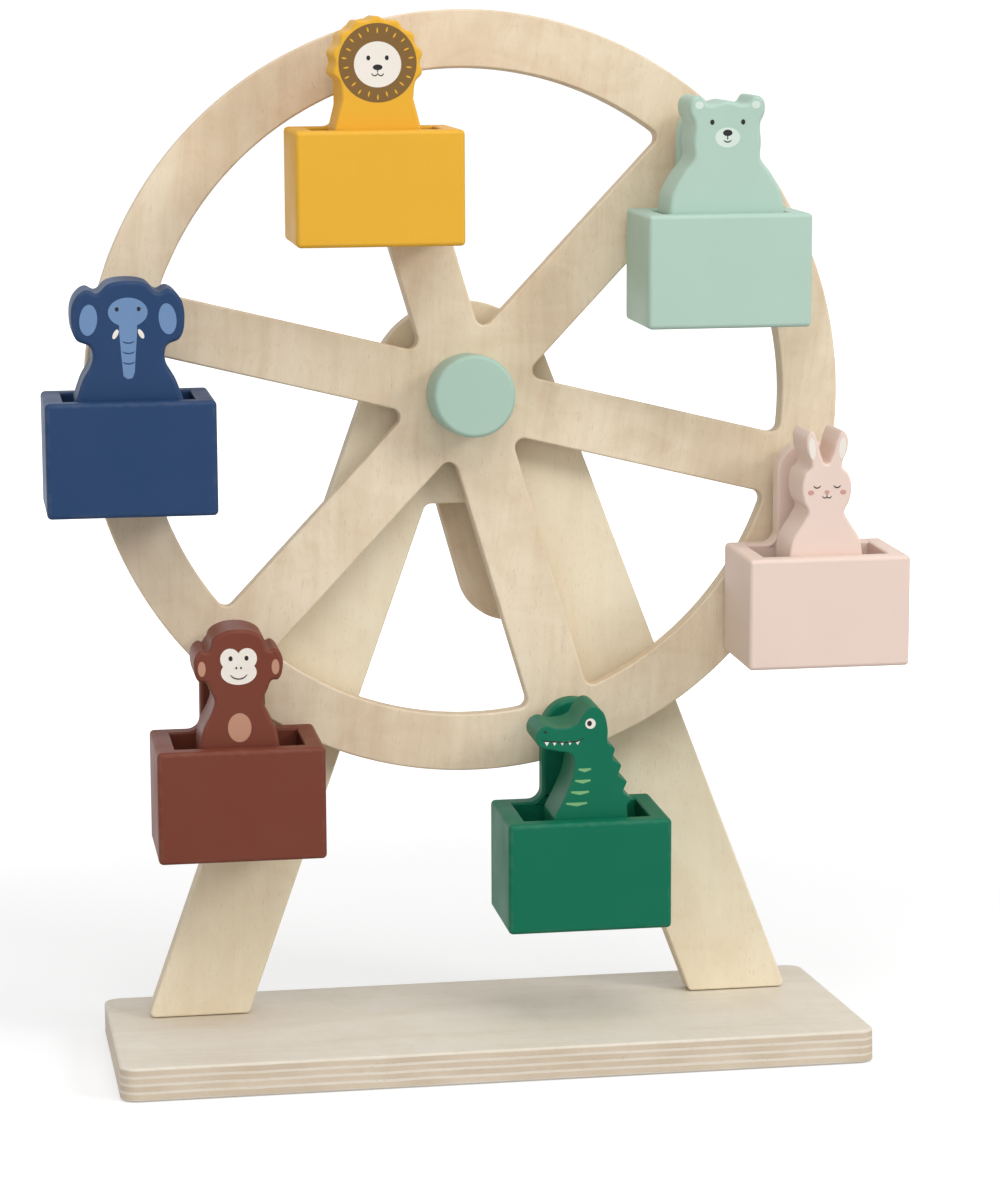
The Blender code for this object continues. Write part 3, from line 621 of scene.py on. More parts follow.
def make_birch_face():
    """The peeled face of birch: cloudy figure, long streaks, fine fibre and short pores."""
    tree, source, target = new_group(
        "birch_face",
        [("Vector", "NodeSocketVector", None), ("Pale", "NodeSocketColor", (0.8, 0.7, 0.5, 1)),
         ("Tan", "NodeSocketColor", (0.7, 0.55, 0.35, 1)), ("Figure", "NodeSocketFloat", 1.0)],
        [("Color", "NodeSocketColor"), ("Height", "NodeSocketFloat"),
         ("Sheen", "NodeSocketFloat")])
    place_at = source.outputs["Vector"]
    bend = noise(tree, place_at, (9.0, 16.0, 10.0), 2.0)
    lift = maths(tree, "MULTIPLY", maths(tree, "SUBTRACT", bend, 0.5), 0.02)
    offset = add(tree, "ShaderNodeCombineXYZ", {1: lift})
    bent = add(tree, "ShaderNodeVectorMath", {0: place_at, 1: offset.outputs[0]},
               operation="ADD").outputs[0]
    cloud = spread(tree, noise(tree, bent, (13.0, 30.0, 20.0), 4.0, 0.6, 0.7), 0.34, 0.66)
    ripple = spread(tree, noise(tree, bent, (70.0, 34.0, 40.0), 3.0, 0.6, 1.2), 0.40, 0.70)
    streak = spread(tree, noise(tree, bent, (9.0, 210.0, 210.0), 4.0, 0.62), 0.38, 0.72)
    fibre = noise(tree, bent, (120.0, 2600.0, 2600.0), 2.0, 0.6)
    pore = spread(tree, noise(tree, bent, (330.0, 2100.0, 2100.0), 1.0), 0.66, 0.74)
    mixed = maths(tree, "MULTIPLY", cloud, 0.50)
    mixed = maths(tree, "MULTIPLY_ADD", ripple, 0.20, mixed)
    mixed = maths(tree, "MULTIPLY_ADD", streak, 0.22, mixed)
    mixed = maths(tree, "MULTIPLY_ADD", fibre, 0.10, mixed)
    mixed = maths(tree, "MULTIPLY", mixed, source.outputs["Figure"])
    colour = blend(tree, mixed, source.outputs["Pale"], source.outputs["Tan"])
    dark = blend(tree, 1.0, source.outputs["Tan"], (0.78, 0.70, 0.60, 1), "MULTIPLY")
    colour = blend(tree, maths(tree, "MULTIPLY", pore, 0.40), colour, dark)
    height = maths(tree, "MULTIPLY_ADD", pore, -0.9, fibre)
    sheen = maths(tree, "MULTIPLY_ADD", ripple, 0.5, maths(tree, "MULTIPLY", streak, 0.5))
    return finish_group(tree, target, {"Color": colour, "Height": height, "Sheen": sheen})


def make_ply_stack():
    """The veneers on a plywood edge: thin long-grain ones between thicker cross-grain ones."""
    tree, source, target = new_group(
        "ply_stack",
        [("Vector", "NodeSocketVector", None), ("Thickness", "NodeSocketFloat", 0.012),
         ("Pairs", "NodeSocketFloat", 3.0), ("Thin Share", "NodeSocketFloat", 0.36)],
        [("Cross", "NodeSocketFloat"), ("Glue", "NodeSocketFloat"),
         ("Speckle", "NodeSocketFloat"), ("Tone", "NodeSocketFloat")])
    place_at = source.outputs["Vector"]
    thin = source.outputs["Thin Share"]
    height = add(tree, "ShaderNodeSeparateXYZ", {0: place_at}).outputs[2]
    depth = maths(tree, "ADD", maths(tree, "DIVIDE", height, source.outputs["Thickness"]), 0.5)
    wave = noise(tree, place_at, (26.0, 26.0, 0.0), 3.0)
    wave = maths(tree, "MULTIPLY", maths(tree, "SUBTRACT", wave, 0.5), 0.30)
    count = maths(tree, "MULTIPLY", depth, maths(tree, "ADD", source.outputs["Pairs"], thin))
    shifted = maths(tree, "ADD", count, wave)
    pair = maths(tree, "FLOOR", shifted)
    part = maths(tree, "FRACT", shifted)
    past_thin = maths(tree, "SUBTRACT", part, thin)
    cross = spread(tree, past_thin, -0.05, 0.05)
    cross = maths(tree, "MULTIPLY", cross, spread(tree, part, 0.93, 1.0, 1.0, 0.0))
    inner = maths(tree, "MULTIPLY", spread(tree, count, 0.15, 0.3),
                  spread(tree, maths(tree, "SUBTRACT", source.outputs["Pairs"], count),
                         -0.25, -0.1))
    glue = spread(tree, maths(tree, "ABSOLUTE", past_thin), 0.0, 0.075, 1.0, 0.0)
    glue = maths(tree, "MAXIMUM", glue, spread(tree, part, 0.93, 0.99))
    speckle = noise(tree, place_at, (700.0, 700.0, 1300.0), 3.0, 0.7)
    offset = add(tree, "ShaderNodeCombineXYZ", {2: maths(tree, "MULTIPLY", pair, 0.13)})
    moved = add(tree, "ShaderNodeVectorMath", {0: place_at, 1: offset.outputs[0]},
                operation="ADD").outputs[0]
    tone = spread(tree, noise(tree, moved, (34.0, 34.0, 34.0), 3.0), 0.3, 0.7)
    return finish_group(tree, target, {"Cross": maths(tree, "MULTIPLY", cross, inner),
                                       "Glue": maths(tree, "MULTIPLY", glue, inner),
                                       "Speckle": speckle, "Tone": tone})


def make_satin_paint():
    """Satin paint on wood: soft mottling, a trace of the grain below and thin worn edges."""
    tree, source, target = new_group(
        "satin_paint",
        [("Vector", "NodeSocketVector", None), ("Color", "NodeSocketColor", (0.5, 0.5, 0.5, 1)),
         ("Worn", "NodeSocketColor", (0.6, 0.6, 0.6, 1)), ("Edge", "NodeSocketFloat", 0.0)],
        [("Color", "NodeSocketColor"), ("Roughness", "NodeSocketFloat"),
         ("Height", "NodeSocketFloat")])
    place_at = source.outputs["Vector"]
    mottle = spread(tree, noise(tree, place_at, (28.0, 28.0, 28.0), 2.0), 0.25, 0.75)
    grain = noise(tree, place_at, (1150.0, 1150.0, 70.0), 3.0, 0.6)
    peel = noise(tree, place_at, (520.0, 520.0, 520.0), 2.0)
    shifted = maths(tree, "MULTIPLY_ADD", mottle, 0.6, maths(tree, "MULTIPLY", grain, 0.4))
    light = blend(tree, 0.004, source.outputs["Color"], (1.0, 1.0, 1.0, 1))
    dark = blend(tree, 1.0, source.outputs["Color"], (0.955, 0.955, 0.955, 1), "MULTIPLY")
    colour = blend(tree, shifted, light, dark)
    rubbed = spread(tree, noise(tree, place_at, (160.0, 160.0, 160.0), 4.0), 0.42, 0.66)
    rubbed = maths(tree, "MULTIPLY", rubbed, source.outputs["Edge"])
    colour = blend(tree, maths(tree, "MULTIPLY", rubbed, 0.08), colour, source.outputs["Worn"])
    roughness = spread(tree, mottle, 0.0, 1.0, 0.40, 0.50)
    roughness = maths(tree, "MULTIPLY_ADD", grain, 0.06, roughness)
    height = maths(tree, "MULTIPLY_ADD", grain, 0.6, maths(tree, "MULTIPLY", peel, 0.4))
    return finish_group(tree, target, {"Color": colour, "Roughness": roughness,
                                       "Height": height})


def use_group(tree, name, inputs):
    """A shader node group placed in a material, with the material's own values."""
    return add(tree, "ShaderNodeGroup", inputs, node_tree=bpy.data.node_groups[name])


def new_material(name, viewport):
    """A material with its shader, and the piece's own coordinates for its grain."""
    material = bpy.data.materials.new(name)
    material.use_nodes = True
    material.diffuse_color = (*viewport, 1.0)
    tree = material.node_tree
    shader = tree.nodes["Principled BSDF"]
    own = add(tree, "ShaderNodeAttribute", attribute_name="own").outputs["Vector"]
    return material, tree, shader, own


def add_bump(tree, shader, height, strength, distance):
    """Fine relief on a shader, its depth in metres."""
    bump = add(tree, "ShaderNodeBump", {"Height": height, "Strength": strength,
                                        "Distance": distance})
    tree.links.new(bump.outputs[0], shader.inputs["Normal"])


def board_material(name, look, pale, tan, thickness, pairs, figure):
    """Birch plywood: figured faces, with the stack of veneers showing on the edges."""
    material, tree, shader, own = new_material(name, pale)
    face = use_group(tree, "birch_face", {"Vector": own, "Pale": (*pale, 1),
                                          "Tan": (*tan, 1), "Figure": figure})
    stack = use_group(tree, "ply_stack", {"Vector": own, "Thickness": thickness,
                                          "Pairs": pairs})
    end_grain = blend(tree, stack.outputs["Tone"], (*look.end_grain, 1),
                      (*look.end_grain_dark, 1))
    pits = spread(tree, stack.outputs["Speckle"], 0.56, 0.72)
    end_grain = blend(tree, maths(tree, "MULTIPLY", pits, 0.4), end_grain, (*look.glue, 1))
    inner = stack.outputs["Cross"]
    colour = blend(tree, maths(tree, "MULTIPLY", inner, 0.66), face.outputs["Color"], end_grain)
    lines = maths(tree, "MULTIPLY", stack.outputs["Glue"], stack.outputs["Tone"])
    colour = blend(tree, maths(tree, "MULTIPLY", lines, 0.35), colour, (*look.glue, 1))
    tree.links.new(colour, shader.inputs["Base Color"])
    rough = spread(tree, face.outputs["Sheen"], 0.0, 1.0, 0.52, 0.62)
    rough = maths(tree, "MULTIPLY_ADD", inner, 0.15, rough)
    tree.links.new(rough, shader.inputs["Roughness"])
    shader.inputs["Specular IOR Level"].default_value = 0.35
    relief = maths(tree, "MULTIPLY_ADD", inner, stack.outputs["Speckle"],
                   face.outputs["Height"])
    add_bump(tree, shader, relief, 0.22, 0.00012)
    return material


def dowel_material(name, look):
    """Turned birch, its grain along the piece's own Z."""
    material, tree, shader, own = new_material(name, look.tan)
    turned = add(tree, "ShaderNodeMapping", {"Vector": own, "Rotation": (0.0, math.pi / 2, 0.0)})
    face = use_group(tree, "birch_face", {"Vector": turned.outputs[0], "Pale": (*look.pale, 1),
                                          "Tan": (*look.tan, 1), "Figure": 1.3})
    tree.links.new(face.outputs["Color"], shader.inputs["Base Color"])
    rough = spread(tree, face.outputs["Sheen"], 0.0, 1.0, 0.55, 0.66)
    tree.links.new(rough, shader.inputs["Roughness"])
    add_bump(tree, shader, face.outputs["Height"], 0.3, 0.00012)
    return material


def paint_material(name, colour, worn):
    """Satin paint, a little thinner on the rounded edges."""
    material, tree, shader, own = new_material(name, colour)
    edge = add(tree, "ShaderNodeAttribute", attribute_name="edge").outputs["Fac"]
    paint = use_group(tree, "satin_paint", {"Vector": own, "Color": (*colour, 1),
                                            "Worn": (*worn, 1), "Edge": edge})
    tree.links.new(paint.outputs["Color"], shader.inputs["Base Color"])
    tree.links.new(paint.outputs["Roughness"], shader.inputs["Roughness"])
    shader.inputs["Specular IOR Level"].default_value = 0.17
    add_bump(tree, shader, paint.outputs["Height"], 0.10, 0.00012)
    return material


def steel_material(name, look):
    """Zinc-plated steel with a turned, slightly stained surface."""
    material, tree, shader, own = new_material(name, look.steel)
    stain = spread(tree, noise(tree, own, (600.0, 600.0, 600.0), 4.0), 0.35, 0.7)
    rings = noise(tree, own, (2500.0, 2500.0, 200.0), 2.0)
    dark = tuple(value * 0.72 for value in look.steel)
    tree.links.new(blend(tree, stain, (*look.steel, 1), (*dark, 1)), shader.inputs["Base Color"])
    tree.links.new(spread(tree, stain, 0.0, 1.0, 0.28, 0.46), shader.inputs["Roughness"])
    shader.inputs["Metallic"].default_value = 1.0
    add_bump(tree, shader, rings, 0.2, 0.0001)
    return material


def floor_material(name, look):
    """A white ground that glows a little, so that only the shadows show."""
    material, tree, shader, _ = new_material(name, (1.0, 1.0, 1.0))
    own = add(tree, "ShaderNodeTexCoord").outputs["Object"]
    dust = spread(tree, noise(tree, own, (3.0, 3.0, 3.0), 3.0), 0.3, 0.7)
    reach = add(tree, "ShaderNodeVectorMath", {0: own}, operation="LENGTH").outputs["Value"]
    glow = spread(tree, reach, 0.35, 1.3, look.floor_glow, WORLD_WHITE)
    rays = add(tree, "ShaderNodeLightPath").outputs
    seen = maths(tree, "MAXIMUM", rays["Is Camera Ray"], rays["Is Glossy Ray"])
    tree.links.new(maths(tree, "MULTIPLY", glow, seen), shader.inputs["Emission Strength"])
    tree.links.new(blend(tree, dust, (0.56, 0.56, 0.56, 1), (0.54, 0.54, 0.545, 1)),
                   shader.inputs["Base Color"])
    tree.links.new(spread(tree, dust, 0.0, 1.0, 0.92, 1.0), shader.inputs["Roughness"])
    shader.inputs["Specular IOR Level"].default_value = 0.0
    shader.inputs["Emission Color"].default_value = (1.0, 1.0, 1.0, 1.0)
    return material


# Settings

def colour_property(text, value):
    """A linear colour that the user may change."""
    return bpy.props.FloatVectorProperty(
        name=text, description=text + ", as a linear colour", subtype="COLOR", size=3,
        min=0.0, max=1.0, default=value)


def length_property(text, value):
    """A length in millimetres that the user may change."""
    return bpy.props.FloatProperty(name=text, description=text + ", in millimetres",
                                   default=value, min=0.0)


class FerrisSizes(bpy.types.PropertyGroup):
    """Sizes of the detailed pieces in millimetres, as the CAD frame has them."""

    base_length: length_property("Base length", 300.0)
    base_depth: length_property("Base depth", 128.2)
    base_thickness: length_property("Base thickness", 13.4)
    base_corner: length_property("Base corner radius", 7.0)
    base_edge: length_property("Base edge radius", 1.1)
    gap: length_property("Gap between touching pieces", 0.3)
    frame_setback: length_property("Stand front", 21.0)
    frame_thickness: length_property("Stand thickness", 12.0)
    crown_radius: length_property("Stand crown radius", 37.6)
    foot_reach: length_property("Stand foot reach", 133.7)
    leg_width: length_property("Stand leg width", 38.7)
    crotch_drop: length_property("Crotch below the axle", 45.2)
    axle_height: length_property("Axle height", 266.8)
    axle_radius: length_property("Axle radius", 6.0)
    wheel_gap: length_property("Gap behind the wheel", 4.1)
    wheel_thickness: length_property("Wheel thickness", 10.0)
    wheel_radius: length_property("Wheel radius", 153.6)
    rim_width: length_property("Rim width", 23.0)
    spoke_width: length_property("Spoke width", 24.8)
    window_corner: length_property("Window corner radius", 3.7)
    board_edge: length_property("Edge radius of the boards", 0.9)
    hub_radius: length_property("Hub cap radius", 16.5)
    hub_length: length_property("Hub cap length", 22.5)
    hub_edge: length_property("Hub cap edge radius", 1.8)
    crank_thickness: length_property("Crank thickness", 9.0)
    crank_length: length_property("Crank length", 78.0)
    crank_half_width: length_property("Crank half width", 20.4)
    knob_radius: length_property("Knob radius", 11.5)
    knob_end_radius: length_property("Knob end radius", 9.4)
    tub_width: length_property("Box width", 66.0)
    tub_height: length_property("Box height", 44.9)
    tub_depth: length_property("Box depth", 46.4)
    tub_drop: length_property("Rim below the peg", 29.1)
    tub_front: length_property("Box front wall", 7.0)
    tub_side: length_property("Box side wall", 7.5)
    tub_floor: length_property("Box floor", 10.0)
    tub_edge: length_property("Box edge radius", 1.8)
    hanger_thickness: length_property("Hanger thickness", 8.6)
    hanger_half_width: length_property("Hanger half width", 13.0)
    hanger_fillet: length_property("Hanger fillet", 5.0)
    peg_radius: length_property("Peg radius", 4.0)
    peg_head_radius: length_property("Peg head radius", 7.0)
    peg_head_height: length_property("Peg head height", 2.8)
    figure_thickness: length_property("Figure thickness", 24.0)
    figure_play: length_property("Play before a figure", 0.5)
    figure_rise: length_property("Figure rise", 46.0)
    print_height: length_property("Height of a print", 0.05)
    print_step: length_property("Step to the next print", 0.03)


class FerrisColours(bpy.types.PropertyGroup):
    """Colours of the detailed pieces, linear."""

    pale: colour_property("Birch of the wheel, pale", (0.83, 0.72, 0.545))
    tan: colour_property("Birch of the wheel, tan", (0.69, 0.535, 0.365))
    # The stand's birch is paler than the wheel's: painted light that makes up for the shade the
    # wheel and the boxes cast on the stand.
    stand_pale: colour_property("Birch of the stand, pale", (0.86, 0.77, 0.585))
    stand_tan: colour_property("Birch of the stand, tan", (0.76, 0.635, 0.44))
    # The base's greyer tone is its own. Its birch was also raised a little, as painted light
    # against the wheel's shadow on its top.
    base_pale: colour_property("Birch of the base, pale", (0.78, 0.72, 0.62))
    base_tan: colour_property("Birch of the base, tan", (0.70, 0.61, 0.485))
    end_grain: colour_property("End grain", (0.66, 0.53, 0.38))
    end_grain_dark: colour_property("End grain, dark", (0.56, 0.42, 0.28))
    glue: colour_property("Glue line", (0.36, 0.245, 0.155))
    steel: colour_property("Steel", (0.62, 0.62, 0.63))
    pink: colour_property("Pink", (0.82, 0.65, 0.565))
    mint: colour_property("Mint", (0.44, 0.60, 0.51))
    hub: colour_property("Mint of the hub and knob", (0.395, 0.555, 0.465))
    yellow: colour_property("Yellow", (0.80, 0.43, 0.036))
    navy: colour_property("Navy", (0.018, 0.052, 0.135))
    brown: colour_property("Brown", (0.178, 0.045, 0.026))
    green: colour_property("Green", (0.001, 0.148, 0.078))
    cream: colour_property("Cream print", (0.86, 0.80, 0.72))
    ink: colour_property("Dark print", (0.022, 0.020, 0.022))
    rose: colour_property("Rose print", (0.62, 0.33, 0.28))
    umber: colour_property("Umber print", (0.21, 0.115, 0.035))
    sky: colour_property("Sky print", (0.16, 0.27, 0.47))
    clay: colour_property("Clay print", (0.52, 0.27, 0.18))
    leaf: colour_property("Leaf print", (0.22, 0.46, 0.20))
    sage: colour_property("Sage print", (0.66, 0.77, 0.69))
    floor_glow: bpy.props.FloatProperty(
        name="Glow of the ground", description="Strength of the ground's glow at the toy",
        default=0.52, min=0.0)


def sizes():
    """The sizes that the scene holds."""
    return bpy.context.scene.ferris_sizes


def colours():
    """The colours that the scene holds."""
    return bpy.context.scene.ferris_colours


def material(name):
    """A material by name, made when it is first asked for."""
    if name in bpy.data.materials and name.startswith("look_"):
        return bpy.data.materials[name]
    look, size = colours(), sizes()
    key = name.removeprefix("look_")
    boards = {
        "base": (look.base_pale, look.base_tan, size.base_thickness, 4.0, 0.9),
        "stand": (look.stand_pale, look.stand_tan, size.frame_thickness, 3.0, 0.9),
        "wheel": (look.pale, look.tan, size.wheel_thickness, 3.0, 1.15),
        "crank": (look.pale, look.tan, size.crank_thickness, 3.0, 1.2)}
    if key in boards:
        pale, tan, thickness, pairs, figure = boards[key]
        return board_material(name, look, pale, tan, thickness * MM, pairs, figure)
    if key == "dowel":
        return dowel_material(name, look)
    if key == "steel":
        return steel_material(name, look)
    if key == "floor":
        return floor_material(name, look)
    base = tuple(getattr(look, key))
    worn = tuple(value * 0.72 + wood * 0.28 for value, wood in zip(base, look.pale))
    return paint_material(name, base, worn)


def axle_point(y=0.0):
    """A point on the axle's line."""
    return Vector((0.0, y, sizes().axle_height * MM))


def wheel_front():
    """Where the wheel's front face lies along Y."""
    size = sizes()
    return (size.frame_setback - size.wheel_gap - size.wheel_thickness) * MM


def peg_point(index):
    """The middle of a peg in the CAD frame."""
    low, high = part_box("peg_" + COLOURS[index])
    return (low + high) / 2


def spoke_angle(index):
    """The angle of a spoke, from where the CAD frame has its peg."""
    middle = peg_point(index)
    return math.atan2(middle.z - sizes().axle_height * MM, middle.x)


# Pieces

def build_base():
    """The base board, with the holes for its screws."""
    size = sizes()
    half_length, half_depth = size.base_length / 2 * MM, size.base_depth / 2 * MM
    corners = [(x * half_length, y * half_depth, size.base_corner * MM, 14)
               for x, y in ((1, 1), (-1, 1), (-1, -1), (1, -1))]
    mesh = board_mesh("base", [rounded(corners)], size.base_thickness * MM,
                      size.base_edge * MM)
    half = size.base_thickness / 2 * MM
    for node in BASE_SCREWS:
        low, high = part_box(node)
        head = (high.x - low.x) / 2 + size.gap * MM
        neck = head / 2
        x, y = (low.x + high.x) / 2, (low.y + high.y) / 2
        sink = low.z - half
        cone = 2.5 * MM
        way = [(0.0, half + OVERRUN), (neck, half + OVERRUN), (neck, sink + cone), (head, sink),
               (head, -half - OVERRUN), (0.0, -half - OVERRUN)]
        cutter = turned_mesh("way", way, 32)
        cutter.transform(Matrix.Translation((x, y, 0.0)))
        mesh = join_shapes(mesh, cutter, "DIFFERENCE")
    place("base_board_skin", mesh, [material("look_base")], Matrix.Translation((0, 0, half)),
          "stand", ("base_board",))


def build_stand():
    """The A-shaped stand."""
    size = sizes()
    floor = (size.base_thickness + size.gap) * MM
    axle = size.axle_height * MM
    reach, crown = size.foot_reach * MM, size.crown_radius * MM
    rise = axle - floor
    angle = math.atan2(reach, rise) - math.asin(crown / math.hypot(reach, rise))
    slope = math.tan(angle)
    inner = reach - size.leg_width * MM / math.cos(angle)
    crotch = axle - size.crotch_drop * MM
    inner_top = inner - (crotch - floor) * slope
    foot, fork = 2.0 * MM, 3.5 * MM
    outline = rounded([
        (0.0, floor + reach / slope, crown, 64), (-reach, floor, foot, 8),
        (-inner, floor, foot, 8), (-inner_top, crotch, fork, 12),
        (inner_top, crotch, fork, 12), (inner, floor, foot, 8), (reach, floor, foot, 8)])
    axle_play = 0.09
    hole = circle((0.0, axle), (size.axle_radius + axle_play) * MM, 64)
    middle = Vector((0.0, axle / 2))
    grain = math.radians(90)
    outlines = [spin([point - middle for point in points], -grain)
                for points in (outline, hole)]
    mesh = board_mesh("stand", outlines, size.frame_thickness * MM, size.board_edge * MM)
    y = (size.frame_setback + size.frame_thickness / 2) * MM
    matrix = (Matrix.Translation((0.0, y, axle / 2)) @ UPRIGHT
              @ Matrix.Rotation(grain, 4, "Z"))
    place("stand_frame_skin", mesh, [material("look_stand")], matrix, "stand",
          ("stand_frame",))


def window_outline(start):
    """The opening between one spoke and the next."""
    size = sizes()
    inner = (size.wheel_radius - size.rim_width) * MM
    half = size.spoke_width / 2 * MM
    radius = size.window_corner * MM
    pitch = 2 * math.pi / len(COLOURS)
    reach = inner - radius
    rim_angle = math.asin((half + radius) / reach)
    first = (reach * math.cos(rim_angle), reach * math.sin(rim_angle))
    last = (reach * math.cos(pitch - rim_angle), reach * math.sin(pitch - rim_angle))
    valley = (half + radius) / math.sin(pitch / 2)
    middle = (valley * math.cos(pitch / 2), valley * math.sin(pitch / 2))
    points = arc(first, radius, -math.pi / 2, rim_angle, 12)
    points += arc((0.0, 0.0), inner, rim_angle, pitch - rim_angle, 44)[1:-1]
    points += arc(last, radius, pitch - rim_angle, pitch + math.pi / 2, 12)
    points += arc(middle, radius, pitch + math.pi / 2, 3 * math.pi / 2, 12)
    return spin(points, start)


def build_wheel():
    """The spoked wheel, cut from one board."""
    size = sizes()
    outlines = [circle((0.0, 0.0), size.wheel_radius * MM, 288),
                circle((0.0, 0.0), (size.axle_radius + size.gap) * MM, 48)]
    circle_radius = (size.wheel_radius - size.rim_width / 2) * MM
    for index in range(len(COLOURS)):
        angle = spoke_angle(index)
        outlines.append(window_outline(angle))
        centre = (circle_radius * math.cos(angle), circle_radius * math.sin(angle))
        outlines.append(circle(centre, (size.peg_radius + size.gap) * MM, 40))
    grain = math.radians(86)
    mesh = board_mesh("wheel", [spin(points, -grain) for points in outlines],
                      size.wheel_thickness * MM, size.board_edge * MM)
    matrix = (Matrix.Translation(axle_point(wheel_front() + size.wheel_thickness / 2 * MM))
              @ UPRIGHT @ Matrix.Rotation(grain, 4, "Z"))
    place("wheel_disc_skin", mesh, [material("look_wheel")], matrix, "wheel",
          ("wheel_disc",))


def mark_lip(mesh, height, reach):
    """Give a turned mesh the wear attribute where it is near one of its ends' rims."""
    worn = mesh.attributes.new("edge", "FLOAT", "POINT")
    outside = max(math.hypot(vertex.co.x, vertex.co.y) for vertex in mesh.vertices)
    for vertex in mesh.vertices:
        radius = math.hypot(vertex.co.x, vertex.co.y)
        near = abs(vertex.co.z - height) < reach and radius > outside - reach
        worn.data[vertex.index].value = 1.0 if near else 0.0


def build_hub():
    """The painted hub cap, the axle and its spacers."""
    size = sizes()
    front = wheel_front() - size.hub_length * MM
    low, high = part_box("hub_cap")
    radius = size.hub_radius * MM
    edge = size.hub_edge * MM
    bore = (size.axle_radius + size.gap) * MM
    bore_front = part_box("axle")[0].y - size.gap * MM
    back = high.y
    face = [(radius * share, front) for share in (0.0, 0.3, 0.6)]
    profile = (face + lip(radius, front, edge, 1, 8)
               + lip(radius, back, 0.5 * MM, -1, 3)[::-1]
               + [(bore, back), (bore, bore_front), (0.0, bore_front)])
    mesh = turned_mesh("hub", profile, 128)
    mark_lip(mesh, front, 1.9 * MM)
    matrix = Matrix.Translation(axle_point()) @ FRONT_TO_BACK
    place("hub_cap_skin", mesh, [material("look_hub")], matrix, "wheel", ("hub_cap",))
    for node in ("wheel_spacer", "crank_spacer"):
        low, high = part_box(node)
        outer = (high.x - low.x) / 2
        profile = ([(bore, low.y)] + lip(outer, low.y, 0.3 * MM, 1, 3)
                   + lip(outer, high.y, 0.3 * MM, -1, 3)[::-1] + [(bore, high.y)])
        mesh = turned_mesh(node, profile, 72, closed=True)
        place(node + "_skin", mesh, [material("look_dowel")], matrix, "wheel",
              (node,))
    low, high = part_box("axle")
    outer = (high.x - low.x) / 2
    hole = 2.3 * MM
    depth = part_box("crank_screw")[0].y - 0.3 * MM
    profile = ([(0.0, low.y)] + lip(outer, low.y, 0.5 * MM, 1, 3)
               + lip(outer, high.y, 0.2 * MM, -1, 2)[::-1]
               + [(hole, high.y), (hole, depth), (0.0, depth)])
    place("axle_skin", turned_mesh("axle", profile, 64), [material("look_dowel")], matrix,
          "wheel", ("axle",))


def knob_point():
    """The middle of the crank's knob in the CAD frame."""
    low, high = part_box("crank_knob")
    return (low + high) / 2


def build_crank():
    """The crank arm and its painted knob."""
    size = sizes()
    place_at = knob_point()
    drop = place_at - axle_point(place_at.y)
    angle = math.atan2(drop.z, drop.x)
    half, length = size.crank_half_width * MM, size.crank_length * MM
    outline = rounded([(-half, -half, half, 28), (length + half, -half, half, 28),
                       (length + half, half, half, 28), (-half, half, half, 28)])
    hole = circle((0.0, 0.0), (size.axle_radius + size.gap) * MM, 56)
    mesh = board_mesh("crank", [outline, hole], size.crank_thickness * MM,
                      size.board_edge * MM)
    low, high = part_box("crank_arm")
    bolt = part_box("knob_bolt")
    bolt_hole = 2.8 * MM
    back = size.crank_thickness / 2 * MM
    depth = high.y - bolt[0].y + size.gap * MM
    way = turned_mesh("way", [(0.0, depth - back), (bolt_hole, depth - back),
                              (bolt_hole, -back - OVERRUN), (0.0, -back - OVERRUN)], 32)
    way.transform(Matrix.Translation((length, 0.0, 0.0)))
    mesh = join_shapes(mesh, way, "DIFFERENCE")
    matrix = (Matrix.Translation(axle_point((low.y + high.y) / 2)) @ UPRIGHT
              @ Matrix.Rotation(angle, 4, "Z"))
    place("crank_arm_skin", mesh, [material("look_crank")], matrix, "wheel",
          ("crank_arm",))

    low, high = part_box("crank_knob")
    front, back = low.y, high.y
    end, full = size.knob_end_radius * MM, size.knob_radius * MM
    edge = 1.6 * MM
    bore, head = 2.6 * MM, 4.7 * MM
    recess = back - 3.4 * MM
    belly = []
    for step in range(1, 14):
        share = step / 14
        bulge = math.sin(math.pi * share) ** 0.75
        belly.append((end + (full - end) * bulge, front + (back - front) * share))
    profile = ([(bore, front)] + lip(end, front, edge, 1, 6) + belly
               + lip(end, back, edge, -1, 6)[::-1]
               + [(head, back), (head, recess), (bore, recess)])
    mesh = turned_mesh("knob", profile, 96, closed=True)
    mark_lip(mesh, back, 2.0 * MM)
    matrix = Matrix.Translation((place_at.x, 0.0, place_at.z)) @ FRONT_TO_BACK
    place("crank_knob_skin", mesh, [material("look_hub")], matrix, "knob",
          ("crank_knob",))


